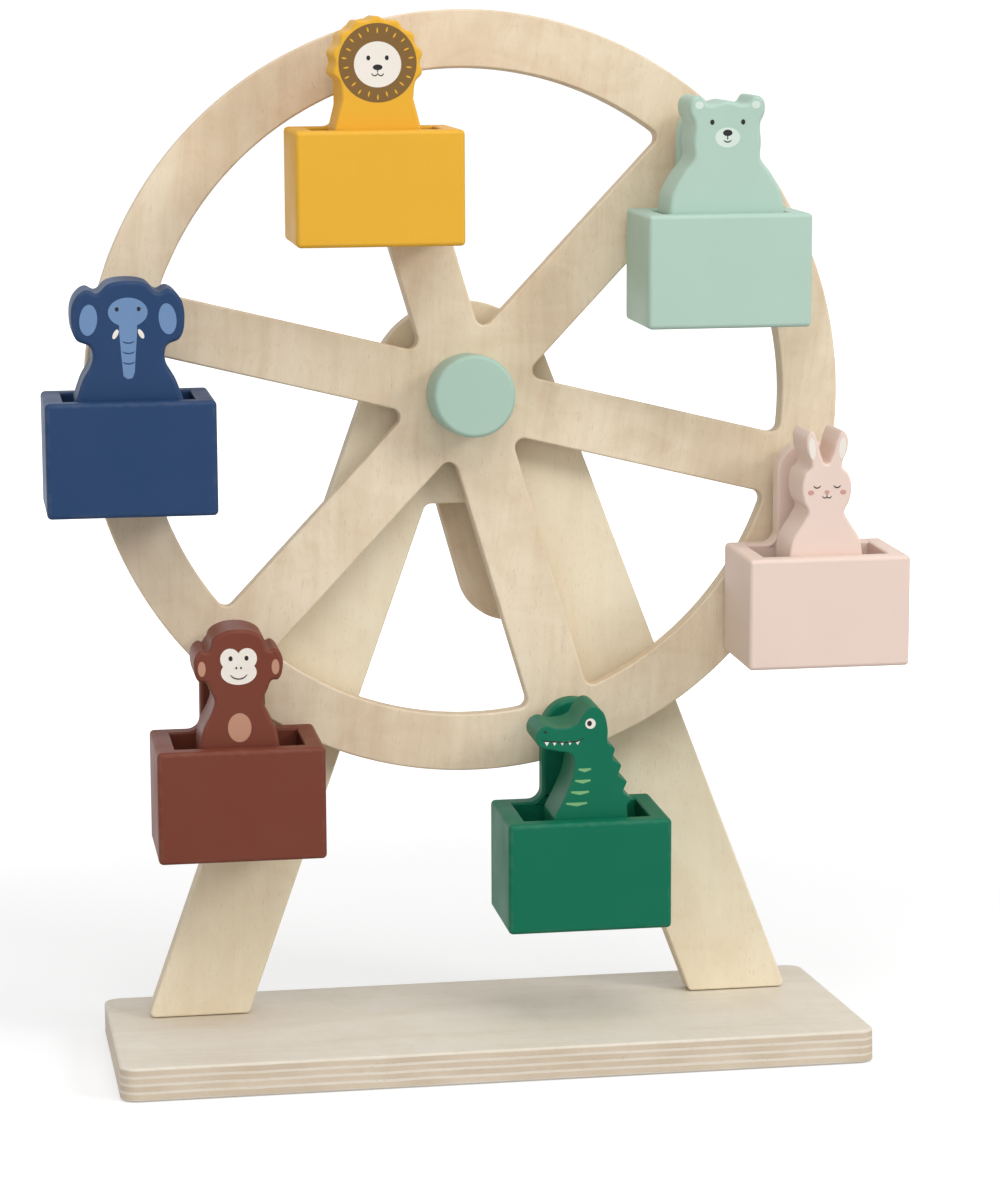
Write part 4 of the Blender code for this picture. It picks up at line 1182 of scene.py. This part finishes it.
def screw_mesh(name, radius, height, shank, length, countersunk=False, hex_socket=False):
    """A screw along Z, its head's top at 0 and its shank below, with a socket cut in it."""
    pitch, crest = 1.2 * MM, 0.4 * MM
    root = shank * 0.78
    if countersunk:
        profile = [(0.0, 0.0), (radius - 0.1 * MM, 0.0), (radius, -0.15 * MM), (shank, -height)]
    else:
        dome = [(radius * math.sin(math.pi / 2 * step / 6),
                 -height * 0.45 * (1 - math.cos(math.pi / 2 * step / 6))) for step in range(7)]
        profile = dome + [(radius, -height), (shank, -height)]
    for turn in range(int((length - height) / pitch)):
        top = -height - crest - turn * pitch
        profile += [(root, top), (shank, top - crest), (root, top - 2 * crest)]
    profile += [(shank * 0.4, -length), (0.0, -length)]
    mesh = turned_mesh(name, profile, 48)
    if hex_socket:
        socket = flat_mesh("socket", [circle((0.0, 0.0), radius * 0.52, 6)], 2 * OVERRUN)
        socket.transform(Matrix.Translation((0.0, 0.0, OVERRUN - height * 0.6)))
        return join_shapes(mesh, socket, "DIFFERENCE")
    slot_length, slot_width = radius * 1.15, 0.9 * MM
    for turn in range(2):
        slot = block_mesh("slot", (-slot_length / 2, -slot_width / 2, -height * 0.55),
                          (slot_length / 2, slot_width / 2, OVERRUN))
        slot.transform(Matrix.Rotation(math.pi / 2 * turn + 0.5, 4, "Z"))
        mesh = join_shapes(mesh, slot, "DIFFERENCE")
    return mesh


def build_screws():
    """The base screws, the crank's screw and the knob's bolt."""
    steel = material("look_steel")
    cone, dome = 2.2 * MM, 2.4 * MM
    for node in BASE_SCREWS:
        low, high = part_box(node)
        radius = (high.x - low.x) / 2
        mesh = screw_mesh("screw", radius, cone, radius / 2, high.z - low.z, countersunk=True)
        matrix = (Matrix.Translation(((low.x + high.x) / 2, (low.y + high.y) / 2, low.z))
                  @ Matrix.Rotation(math.pi, 4, "X"))
        place(node + "_skin", mesh, [steel], matrix, "stand", (node,))
    low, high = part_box("crank_screw")
    mesh = screw_mesh("screw", (high.x - low.x) / 2, dome, 2.0 * MM, high.y - low.y)
    matrix = Matrix.Translation(axle_point(high.y)) @ FRONT_TO_BACK
    place("crank_screw_skin", mesh, [steel], matrix, "wheel", ("crank_screw",))
    low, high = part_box("knob_bolt")
    mesh = screw_mesh("bolt", (high.x - low.x) / 2, dome, 2.5 * MM, high.y - low.y,
                      hex_socket=True)
    place_at = knob_point()
    matrix = Matrix.Translation((place_at.x, high.y, place_at.z)) @ FRONT_TO_BACK
    place("knob_bolt_skin", mesh, [steel], matrix, "wheel", ("knob_bolt",))


def lean_matrix(index):
    """The hanging box's own frame, at its peg and leaning a little forward."""
    colour = COLOURS[index]
    tab_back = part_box("hanger_" + colour)[1].y
    peg = peg_point(index)
    size = sizes()
    half = size.hanger_thickness / 2 * MM
    drop = (size.tub_drop + size.tub_height) * MM
    y = tab_back - half * math.cos(BOX_LEAN) - drop * math.sin(BOX_LEAN)
    return Matrix.Translation((peg.x, y, peg.z)) @ Matrix.Rotation(BOX_LEAN, 4, "X")


def build_pegs():
    """The pegs that the boxes hang on, each with its spacer."""
    size = sizes()
    for index, colour in enumerate(COLOURS):
        low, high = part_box("peg_" + colour)
        spacer_low, spacer_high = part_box("peg_spacer_" + colour)
        radius, head = size.peg_radius * MM, size.peg_head_radius * MM
        head_back = low.y + size.peg_head_height * MM
        dome = []
        for step in range(7):
            angle = math.pi / 2 * step / 6
            dome.append((head * math.sin(angle), low.y + 1.2 * MM * (1 - math.cos(angle))))
        chamfer = 0.4 * MM
        profile = (dome + [(head, head_back - chamfer), (head - chamfer, head_back),
                           (radius, head_back), (radius, high.y - chamfer),
                           (radius - chamfer, high.y), (0.0, high.y)])
        peg = turned_mesh("peg", profile, 48)
        place_at = peg_point(index)
        matrix = Matrix.Translation((place_at.x, 0.0, place_at.z)) @ FRONT_TO_BACK
        place("peg_%s_skin" % colour, peg, [material("look_dowel")], matrix, "wheel",
              ("peg_" + colour,))
        bore = radius + size.gap * MM
        profile = ([(bore, spacer_low.y)] + lip(head, spacer_low.y, chamfer, 1, 3)
                   + lip(head, spacer_high.y, chamfer, -1, 3)[::-1] + [(bore, spacer_high.y)])
        ring = turned_mesh("ring", profile, 48, closed=True)
        place("peg_spacer_%s_skin" % colour, ring, [material("look_dowel")], matrix, "wheel",
              ("peg_spacer_" + colour,))


def tub_mesh():
    """A box and its hanger board in one skin, with the pocket and the peg's hole."""
    size = sizes()
    half = size.tub_width / 2 * MM
    plate = size.hanger_thickness * MM
    front = plate / 2 - size.tub_depth * MM
    top = -size.tub_drop * MM
    bottom = top - size.tub_height * MM
    tab = size.hanger_half_width * MM
    fillet = size.hanger_fillet * MM
    tiny = 0.01 * MM
    outline = [Vector((-half, bottom)), Vector((half, bottom)), Vector((half, top))]
    right = arc((tab + fillet, top + fillet), fillet, -math.pi / 2, -math.pi, 10)
    crown = arc((0.0, 0.0), tab, 0.0, math.pi, 36)
    left = arc((-tab - fillet, top + fillet), fillet, 0.0, -math.pi / 2, 10)
    outline += right + crown + left + [Vector((-half, top))]
    peg_play = 0.51
    hole = circle((0.0, 0.0), (size.peg_radius + peg_play) * MM, 40)
    mesh = flat_mesh("tub", [outline, hole], plate)
    mesh.transform(UPRIGHT)
    block = block_mesh("block", (-half, front, bottom), (half, 0.0, top))
    mesh = join_shapes(mesh, block, "UNION")
    pocket_half = half - size.tub_side * MM
    pocket = block_mesh("pocket", (-pocket_half, front + size.tub_front * MM,
                                   bottom + size.tub_floor * MM),
                        (pocket_half, -plate / 2 + tiny, top + 2 * OVERRUN))
    mesh = join_shapes(mesh, pocket, "DIFFERENCE")

    def radius(edge):
        ends = [vertex.co for vertex in edge.verts]
        middle = (ends[0] + ends[1]) / 2
        if middle.xz.length < 5.5 * MM:
            return 0.5 * MM
        if abs(middle.x) < pocket_half + tiny and front + 1 * MM < middle.y < -plate / 2 + 1 * MM:
            if middle.z < top + tiny:
                return 0.9 * MM
        if middle.z > top + tiny:
            return 1.5 * MM
        return size.tub_edge * MM

    return soften(mesh, radius, 4)


def build_tubs():
    """The six painted boxes."""
    for index, colour in enumerate(COLOURS):
        place("box_%s_skin" % colour, tub_mesh(), [material("look_" + colour)],
              lean_matrix(index), "gondola_" + colour,
              ("tub_" + colour, "hanger_" + colour))


def figure_points(colour):
    """A figure's outline, as the CAD frame has it, as (x, z, corner)."""
    size = sizes()
    figure = OUTLINES[colour]
    half = (size.tub_width / 2 - size.tub_side) * MM * figure["half_width_share"]
    rise = size.figure_rise * MM * figure["rise_share"]
    rim = -size.tub_drop * MM
    right = [(x * half, rim + z * rise, is_corner) for x, z, is_corner in figure["points"]]
    if "mane_lobes" in figure:
        centre = rim + rise * figure["mane_rise_share"]
        neck = right[-1]
        start = math.atan2(neck[1] - centre, neck[0])
        lobes = figure["mane_lobes"]
        points = []
        for step in range(2 * lobes):
            angle = math.pi / 2 - step * math.pi / lobes
            if angle <= start + math.pi / lobes / 2:
                break
            reach = half - (half * figure["mane_depth_share"] if step % 2 else 0.0)
            points.append((reach * math.cos(angle), centre + reach * math.sin(angle), False))
        right += points[::-1]
    floor = (-size.tub_drop - size.tub_height + size.tub_floor + size.gap) * MM
    points = [(right[0][0], floor, True)] + right
    if figure["mirrored"]:
        points += [(-x, z, is_corner) for x, z, is_corner in right[::-1] if x > 0.3 * MM]
        points.append((-right[0][0], floor, True))
    else:
        points.append((right[-1][0], floor, True))
    return points


def rabbit_face():
    """Cream ears, closed eyes, a nose and cheeks. Heights are above the box's rim."""
    shapes = []
    for side in (-1, 1):
        shapes.append((oval(side * 6.2, 43.0, 1.35, 4.3, -side * 5), "cream", 0))
        shapes.append((bow(side * 4.1, 28.6, 1.5, 200, 340, 0.5), "ink", 0))
        shapes.append((oval(side * 6.6, 25.2, 1.3, 1.0), "rose", 0))
        shapes.append((bow(side * 0.9, 23.9, 0.9, 185, 350, 0.4), "ink", 1))
    shapes.append((oval(0.0, 25.4, 1.05, 0.75), "rose", 1))
    shapes.append((stroke([(0.0, 24.8), (0.0, 24.3), (0.0, 23.8)], 0.4), "ink", 0))
    return shapes


def bear_face():
    """A round muzzle, set low, with open eyes and lighter ears."""
    shapes = [(oval(0.0, 29.6, 5.0, 3.9), "sage", 0), (oval(0.0, 31.4, 1.9, 1.25), "ink", 1),
              (stroke([(0.0, 30.6), (0.0, 29.6), (0.0, 28.7)], 0.5), "ink", 2),
              (bow(0.0, 29.7, 1.9, 215, 325, 0.5), "ink", 1)]
    for side in (-1, 1):
        shapes.append((oval(side * 6.2, 35.6, 0.85, 1.05), "ink", 0))
        shapes.append((oval(side * 11.4, 42.3, 1.7, 1.5), "sage", 0))
    return shapes


def lion_face():
    """A brown mane with pale strokes round a cream face."""
    middle = 25.6
    shapes = [(oval(0.0, middle, 15.2, 15.2, 0, 56), "umber", 0)]
    for step in range(22):
        angle = 2 * math.pi * (step + 0.5) / 22
        near, far = (11.3, 13.4) if step % 2 else (12.2, 14.1)
        path = [(share * math.cos(angle), middle + share * math.sin(angle))
                for share in (near, (near + far) / 2, far)]
        shapes.append((stroke(path, 0.7), "yellow", 1))
    shapes.append((oval(0.0, middle - 0.6, 9.2, 8.8, 0, 44), "cream", 1))
    for side in (-1, 1):
        shapes.append((oval(side * 3.6, middle + 1.9, 0.75, 0.95), "ink", 2))
        shapes.append((bow(side * 1.2, middle - 3.7, 1.2, 190, 345, 0.45), "ink", 2))
    shapes.append((oval(0.0, middle - 1.7, 1.9, 1.1), "ink", 2))
    shapes.append((stroke([(0.0, middle - 2.4), (0.0, middle - 3.1), (0.0, middle - 3.8)], 0.45),
                   "ink", 3))
    return shapes


def elephant_face():
    """Blue ears, a straight ringed trunk, small eyes and tusks."""
    trunk = [(-3.6, 33.5), (3.6, 33.5), (3.3, 25.0), (2.6, 17.0), (2.2, 11.0), (1.3, 8.6),
             (-0.6, 8.2), (-2.2, 9.4), (-2.4, 12.0), (-2.8, 17.0), (-3.4, 25.0)]
    shapes = [(oval(0.0, 34.0, 7.6, 5.6, 0, 36), "sky", 0), (trunk, "sky", 1)]
    for side in (-1, 1):
        shapes.append((oval(side * 15.2, 31.2, 3.4, 6.0, side * 6), "sky", 0))
        shapes.append((oval(side * 4.2, 35.2, 0.75, 0.85), "ink", 2))
        shapes.append((oval(side * 4.9, 25.6, 0.9, 2.0, side * 28), "cream", 0))
    for height in (14.5, 18.5, 22.5):
        shapes.append((bow(0.0, height + 3.6, 4.0, 235, 305, 0.5), "navy", 2))
    return shapes


def monkey_face():
    """A two-lobed brow and a wide muzzle, with a smile and clay ears."""
    shapes = [(oval(0.0, 29.6, 7.0, 4.9, 0, 36), "cream", 0)]
    for side, level in ((-1, 1), (1, 2)):
        shapes.append((oval(side * 3.3, 35.0, 3.9, 4.2), "cream", level))
        shapes.append((oval(side * 14.4, 31.4, 1.5, 3.0), "clay", 0))
        shapes.append((oval(side * 3.1, 35.2, 0.8, 1.0), "ink", 3))
        shapes.append((oval(side * 0.9, 31.4, 0.35, 0.5), "ink", 3))
    shapes.append((bow(0.0, 31.0, 4.0, 215, 325, 0.5), "ink", 3))
    shapes.append((oval(0.0, 7.6, 4.6, 5.8, 0, 32), "clay", 0))
    return shapes


def crocodile_face():
    """Seen from its side: an eye, a nostril, a row of teeth and belly bars."""
    shapes = [(oval(1.2, 38.4, 2.1, 2.1), "cream", 0), (oval(0.8, 38.5, 0.95, 1.1), "ink", 1),
              (oval(-17.0, 35.6, 0.7, 0.5), "ink", 0)]
    shapes.append((stroke([(-18.6, 32.4), (-14.0, 31.6), (-9.0, 31.2), (-4.0, 31.4),
                           (-1.5, 32.6)], 0.5), "ink", 1))
    for step in range(5):
        x = -16.4 + 3.1 * step
        shapes.append(([(x - 0.9, 31.6), (x + 0.9, 31.5), (x, 29.9)], "cream", 0))
    for step, (left, right) in enumerate(((-3.6, 1.4), (-5.0, 1.2), (-6.6, 0.6), (-8.6, -0.2))):
        height = 20.0 - 4.6 * step
        shapes.append((stroke([(left, height), ((left + right) / 2, height - 0.5),
                               (right, height)], 1.5), "leaf", 0))
    return shapes


def add_prints(mesh, shapes, front):
    """Add thin prints to a figure's front, and return their colours in slot order."""
    size = sizes()
    names = list(dict.fromkeys(name for _, name, _ in shapes))
    work = bmesh.new()
    work.from_mesh(mesh)
    for points, name, level in shapes:
        lifted = [(x, z - size.tub_drop) for x, z in points]
        proud = (size.print_height + level * size.print_step) * MM
        work.from_mesh(plate_mesh("print", [(lifted, names.index(name) + 1)],
                                  front + 0.3 * MM, front - proud))
    work.to_mesh(mesh)
    work.free()
    return names


def build_figures():
    """The six thick animal boards, each with its painted face."""
    size = sizes()
    faces = {"pink": rabbit_face, "mint": bear_face, "yellow": lion_face,
             "navy": elephant_face, "brown": monkey_face, "green": crocodile_face}
    front = (size.hanger_thickness / 2 - size.tub_depth + size.tub_front
             + size.figure_play) * MM
    middle = front + size.figure_thickness / 2 * MM
    for index, colour in enumerate(COLOURS):
        animal = ANIMALS[colour]
        outline = ease_corners(smooth_outline(figure_points(colour), 10), 1.1 * MM)
        mesh = board_mesh(animal, [outline], size.figure_thickness * MM,
                          OUTLINES[colour]["edge"] * MM, 5)
        move_board(mesh, Matrix.Translation((0.0, middle, 0.0)) @ UPRIGHT)
        names = add_prints(mesh, faces[colour](), front)
        materials = [material("look_" + name) for name in [colour] + names]
        place("%s_skin" % animal, mesh, materials, lean_matrix(index), animal,
              (animal + "_figure",))


def build_stage():
    """Camera, lights, white surroundings and the ground."""
    scene = bpy.context.scene
    camera = bpy.data.cameras.new("camera")
    camera.sensor_fit = "VERTICAL"
    camera.sensor_height = SENSOR_HEIGHT
    camera.lens = FOCAL_PIXELS * SENSOR_HEIGHT / PICTURE_HEIGHT
    camera.clip_start, camera.clip_end = CLIP_NEAR, CLIP_FAR
    holder = bpy.data.objects.new("camera", camera)
    scene.collection.objects.link(holder)
    yaw, pitch, roll = (math.radians(value) for value in CAMERA_TURNS)
    ahead = Vector((math.sin(yaw) * math.cos(pitch), math.cos(yaw) * math.cos(pitch),
                    math.sin(pitch)))
    right = Vector((math.cos(yaw), -math.sin(yaw), 0.0))
    up = right.cross(ahead)
    across = math.cos(roll) * right + math.sin(roll) * up
    upward = -math.sin(roll) * right + math.cos(roll) * up
    turn = Matrix((across, upward, -ahead)).transposed().to_4x4()
    holder.matrix_world = Matrix.Translation(Vector(CAMERA_PLACE) * MM) @ turn
    scene.camera = holder

    floor = bpy.data.meshes.new("ground")
    corners = [(x * GROUND_REACH, y * GROUND_REACH, -GROUND_DROP)
               for x, y in ((-1, -1), (1, -1), (1, 1), (-1, 1))]
    floor.from_pydata(corners, [], [(0, 1, 2, 3)])
    floor.materials.append(material("look_floor"))
    ground = bpy.data.objects.new("ground", floor)
    scene.collection.objects.link(ground)

    for name, (power, width, place_at) in LAMPS.items():
        light = bpy.data.lights.new(name, "AREA")
        light.shape = "DISK"
        light.size = width
        light.energy = power
        lamp = bpy.data.objects.new(name, light)
        scene.collection.objects.link(lamp)
        lamp.location = place_at
        aim = LAMP_TARGET - Vector(place_at)
        lamp.rotation_euler = aim.to_track_quat("-Z", "Y").to_euler()

    world = bpy.data.worlds.new("surroundings")
    world.use_nodes = True
    scene.world = world
    tree = world.node_tree
    background = tree.nodes["Background"]
    rays = add(tree, "ShaderNodeLightPath").outputs
    seen = maths(tree, "MAXIMUM", rays["Is Camera Ray"], rays["Is Glossy Ray"])
    strength = spread(tree, seen, 0.0, 1.0, WORLD_LIGHT, WORLD_WHITE)
    tree.links.new(strength, background.inputs["Strength"])
    background.inputs["Color"].default_value = (1.0, 1.0, 1.0, 1.0)
    scene.view_settings.view_transform = "Standard"


# Operators and panel

class FERRIS_OT_groups(bpy.types.Operator):
    """Make the shader node groups"""

    bl_idname = "ferris.groups"
    bl_label = "Shader Groups"
    bl_options = {"REGISTER", "UNDO"}

    def execute(self, context):
        make_birch_face()
        make_ply_stack()
        make_satin_paint()
        return {"FINISHED"}


class FERRIS_OT_base(bpy.types.Operator):
    """Build the base board"""

    bl_idname = "ferris.base"
    bl_label = "Base Board"
    bl_options = {"REGISTER", "UNDO"}

    def execute(self, context):
        build_base()
        return {"FINISHED"}


class FERRIS_OT_stand(bpy.types.Operator):
    """Build the A-shaped stand"""

    bl_idname = "ferris.stand"
    bl_label = "Stand"
    bl_options = {"REGISTER", "UNDO"}

    def execute(self, context):
        build_stand()
        return {"FINISHED"}


class FERRIS_OT_wheel(bpy.types.Operator):
    """Build the spoked wheel"""

    bl_idname = "ferris.wheel"
    bl_label = "Wheel"
    bl_options = {"REGISTER", "UNDO"}

    def execute(self, context):
        build_wheel()
        return {"FINISHED"}


class FERRIS_OT_hub(bpy.types.Operator):
    """Build the hub cap, axle and spacers"""

    bl_idname = "ferris.hub"
    bl_label = "Hub"
    bl_options = {"REGISTER", "UNDO"}

    def execute(self, context):
        build_hub()
        return {"FINISHED"}


class FERRIS_OT_crank(bpy.types.Operator):
    """Build the crank arm and knob"""

    bl_idname = "ferris.crank"
    bl_label = "Crank"
    bl_options = {"REGISTER", "UNDO"}

    def execute(self, context):
        build_crank()
        return {"FINISHED"}


class FERRIS_OT_screws(bpy.types.Operator):
    """Build the screws and the bolt"""

    bl_idname = "ferris.screws"
    bl_label = "Screws"
    bl_options = {"REGISTER", "UNDO"}

    def execute(self, context):
        build_screws()
        return {"FINISHED"}


class FERRIS_OT_pegs(bpy.types.Operator):
    """Build the pegs and their spacers"""

    bl_idname = "ferris.pegs"
    bl_label = "Pegs"
    bl_options = {"REGISTER", "UNDO"}

    def execute(self, context):
        build_pegs()
        return {"FINISHED"}


class FERRIS_OT_boxes(bpy.types.Operator):
    """Build the six hanging boxes"""

    bl_idname = "ferris.boxes"
    bl_label = "Boxes"
    bl_options = {"REGISTER", "UNDO"}

    def execute(self, context):
        build_tubs()
        return {"FINISHED"}


class FERRIS_OT_figures(bpy.types.Operator):
    """Build the six animal figures"""

    bl_idname = "ferris.figures"
    bl_label = "Figures"
    bl_options = {"REGISTER", "UNDO"}

    def execute(self, context):
        build_figures()
        return {"FINISHED"}


class FERRIS_OT_stage(bpy.types.Operator):
    """Set the camera, lights and ground"""

    bl_idname = "ferris.stage"
    bl_label = "Stage"
    bl_options = {"REGISTER", "UNDO"}

    def execute(self, context):
        build_stage()
        return {"FINISHED"}


class FERRIS_PT_panel(bpy.types.Panel):
    """Sizes, colours and the steps that build the toy."""

    bl_label = "Ferris Wheel"
    bl_space_type = "VIEW_3D"
    bl_region_type = "UI"
    bl_category = "Ferris Wheel"

    def draw(self, context):
        for step in STEPS:
            self.layout.operator(step.bl_idname)
        for group in (context.scene.ferris_sizes, context.scene.ferris_colours):
            box = self.layout.box()
            for key in group.bl_rna.properties.keys():
                if key not in ("rna_type", "name"):
                    box.prop(group, key)


STEPS = [
    FERRIS_OT_groups,
    FERRIS_OT_base,
    FERRIS_OT_stand,
    FERRIS_OT_wheel,
    FERRIS_OT_hub,
    FERRIS_OT_crank,
    FERRIS_OT_screws,
    FERRIS_OT_pegs,
    FERRIS_OT_boxes,
    FERRIS_OT_figures,
    FERRIS_OT_stage,
]
CLASSES = [FerrisSizes, FerrisColours, *STEPS, FERRIS_PT_panel]


def register():
    """Register the classes and hang the settings on the scene."""
    for item in CLASSES:
        bpy.utils.register_class(item)
    bpy.types.Scene.ferris_sizes = bpy.props.PointerProperty(type=FerrisSizes)
    bpy.types.Scene.ferris_colours = bpy.props.PointerProperty(type=FerrisColours)


def unregister():
    """Take the settings off the scene again and unregister the classes."""
    del bpy.types.Scene.ferris_colours
    del bpy.types.Scene.ferris_sizes
    for item in reversed(CLASSES):
        bpy.utils.unregister_class(item)


def main():
    """Build everything in order."""
    register()
    bpy.ops.ferris.groups()
    bpy.ops.ferris.base()
    bpy.ops.ferris.stand()
    bpy.ops.ferris.wheel()
    bpy.ops.ferris.hub()
    bpy.ops.ferris.crank()
    bpy.ops.ferris.screws()
    bpy.ops.ferris.pegs()
    bpy.ops.ferris.boxes()
    bpy.ops.ferris.figures()
    bpy.ops.ferris.stage()


if __name__ == "__main__":
    main()
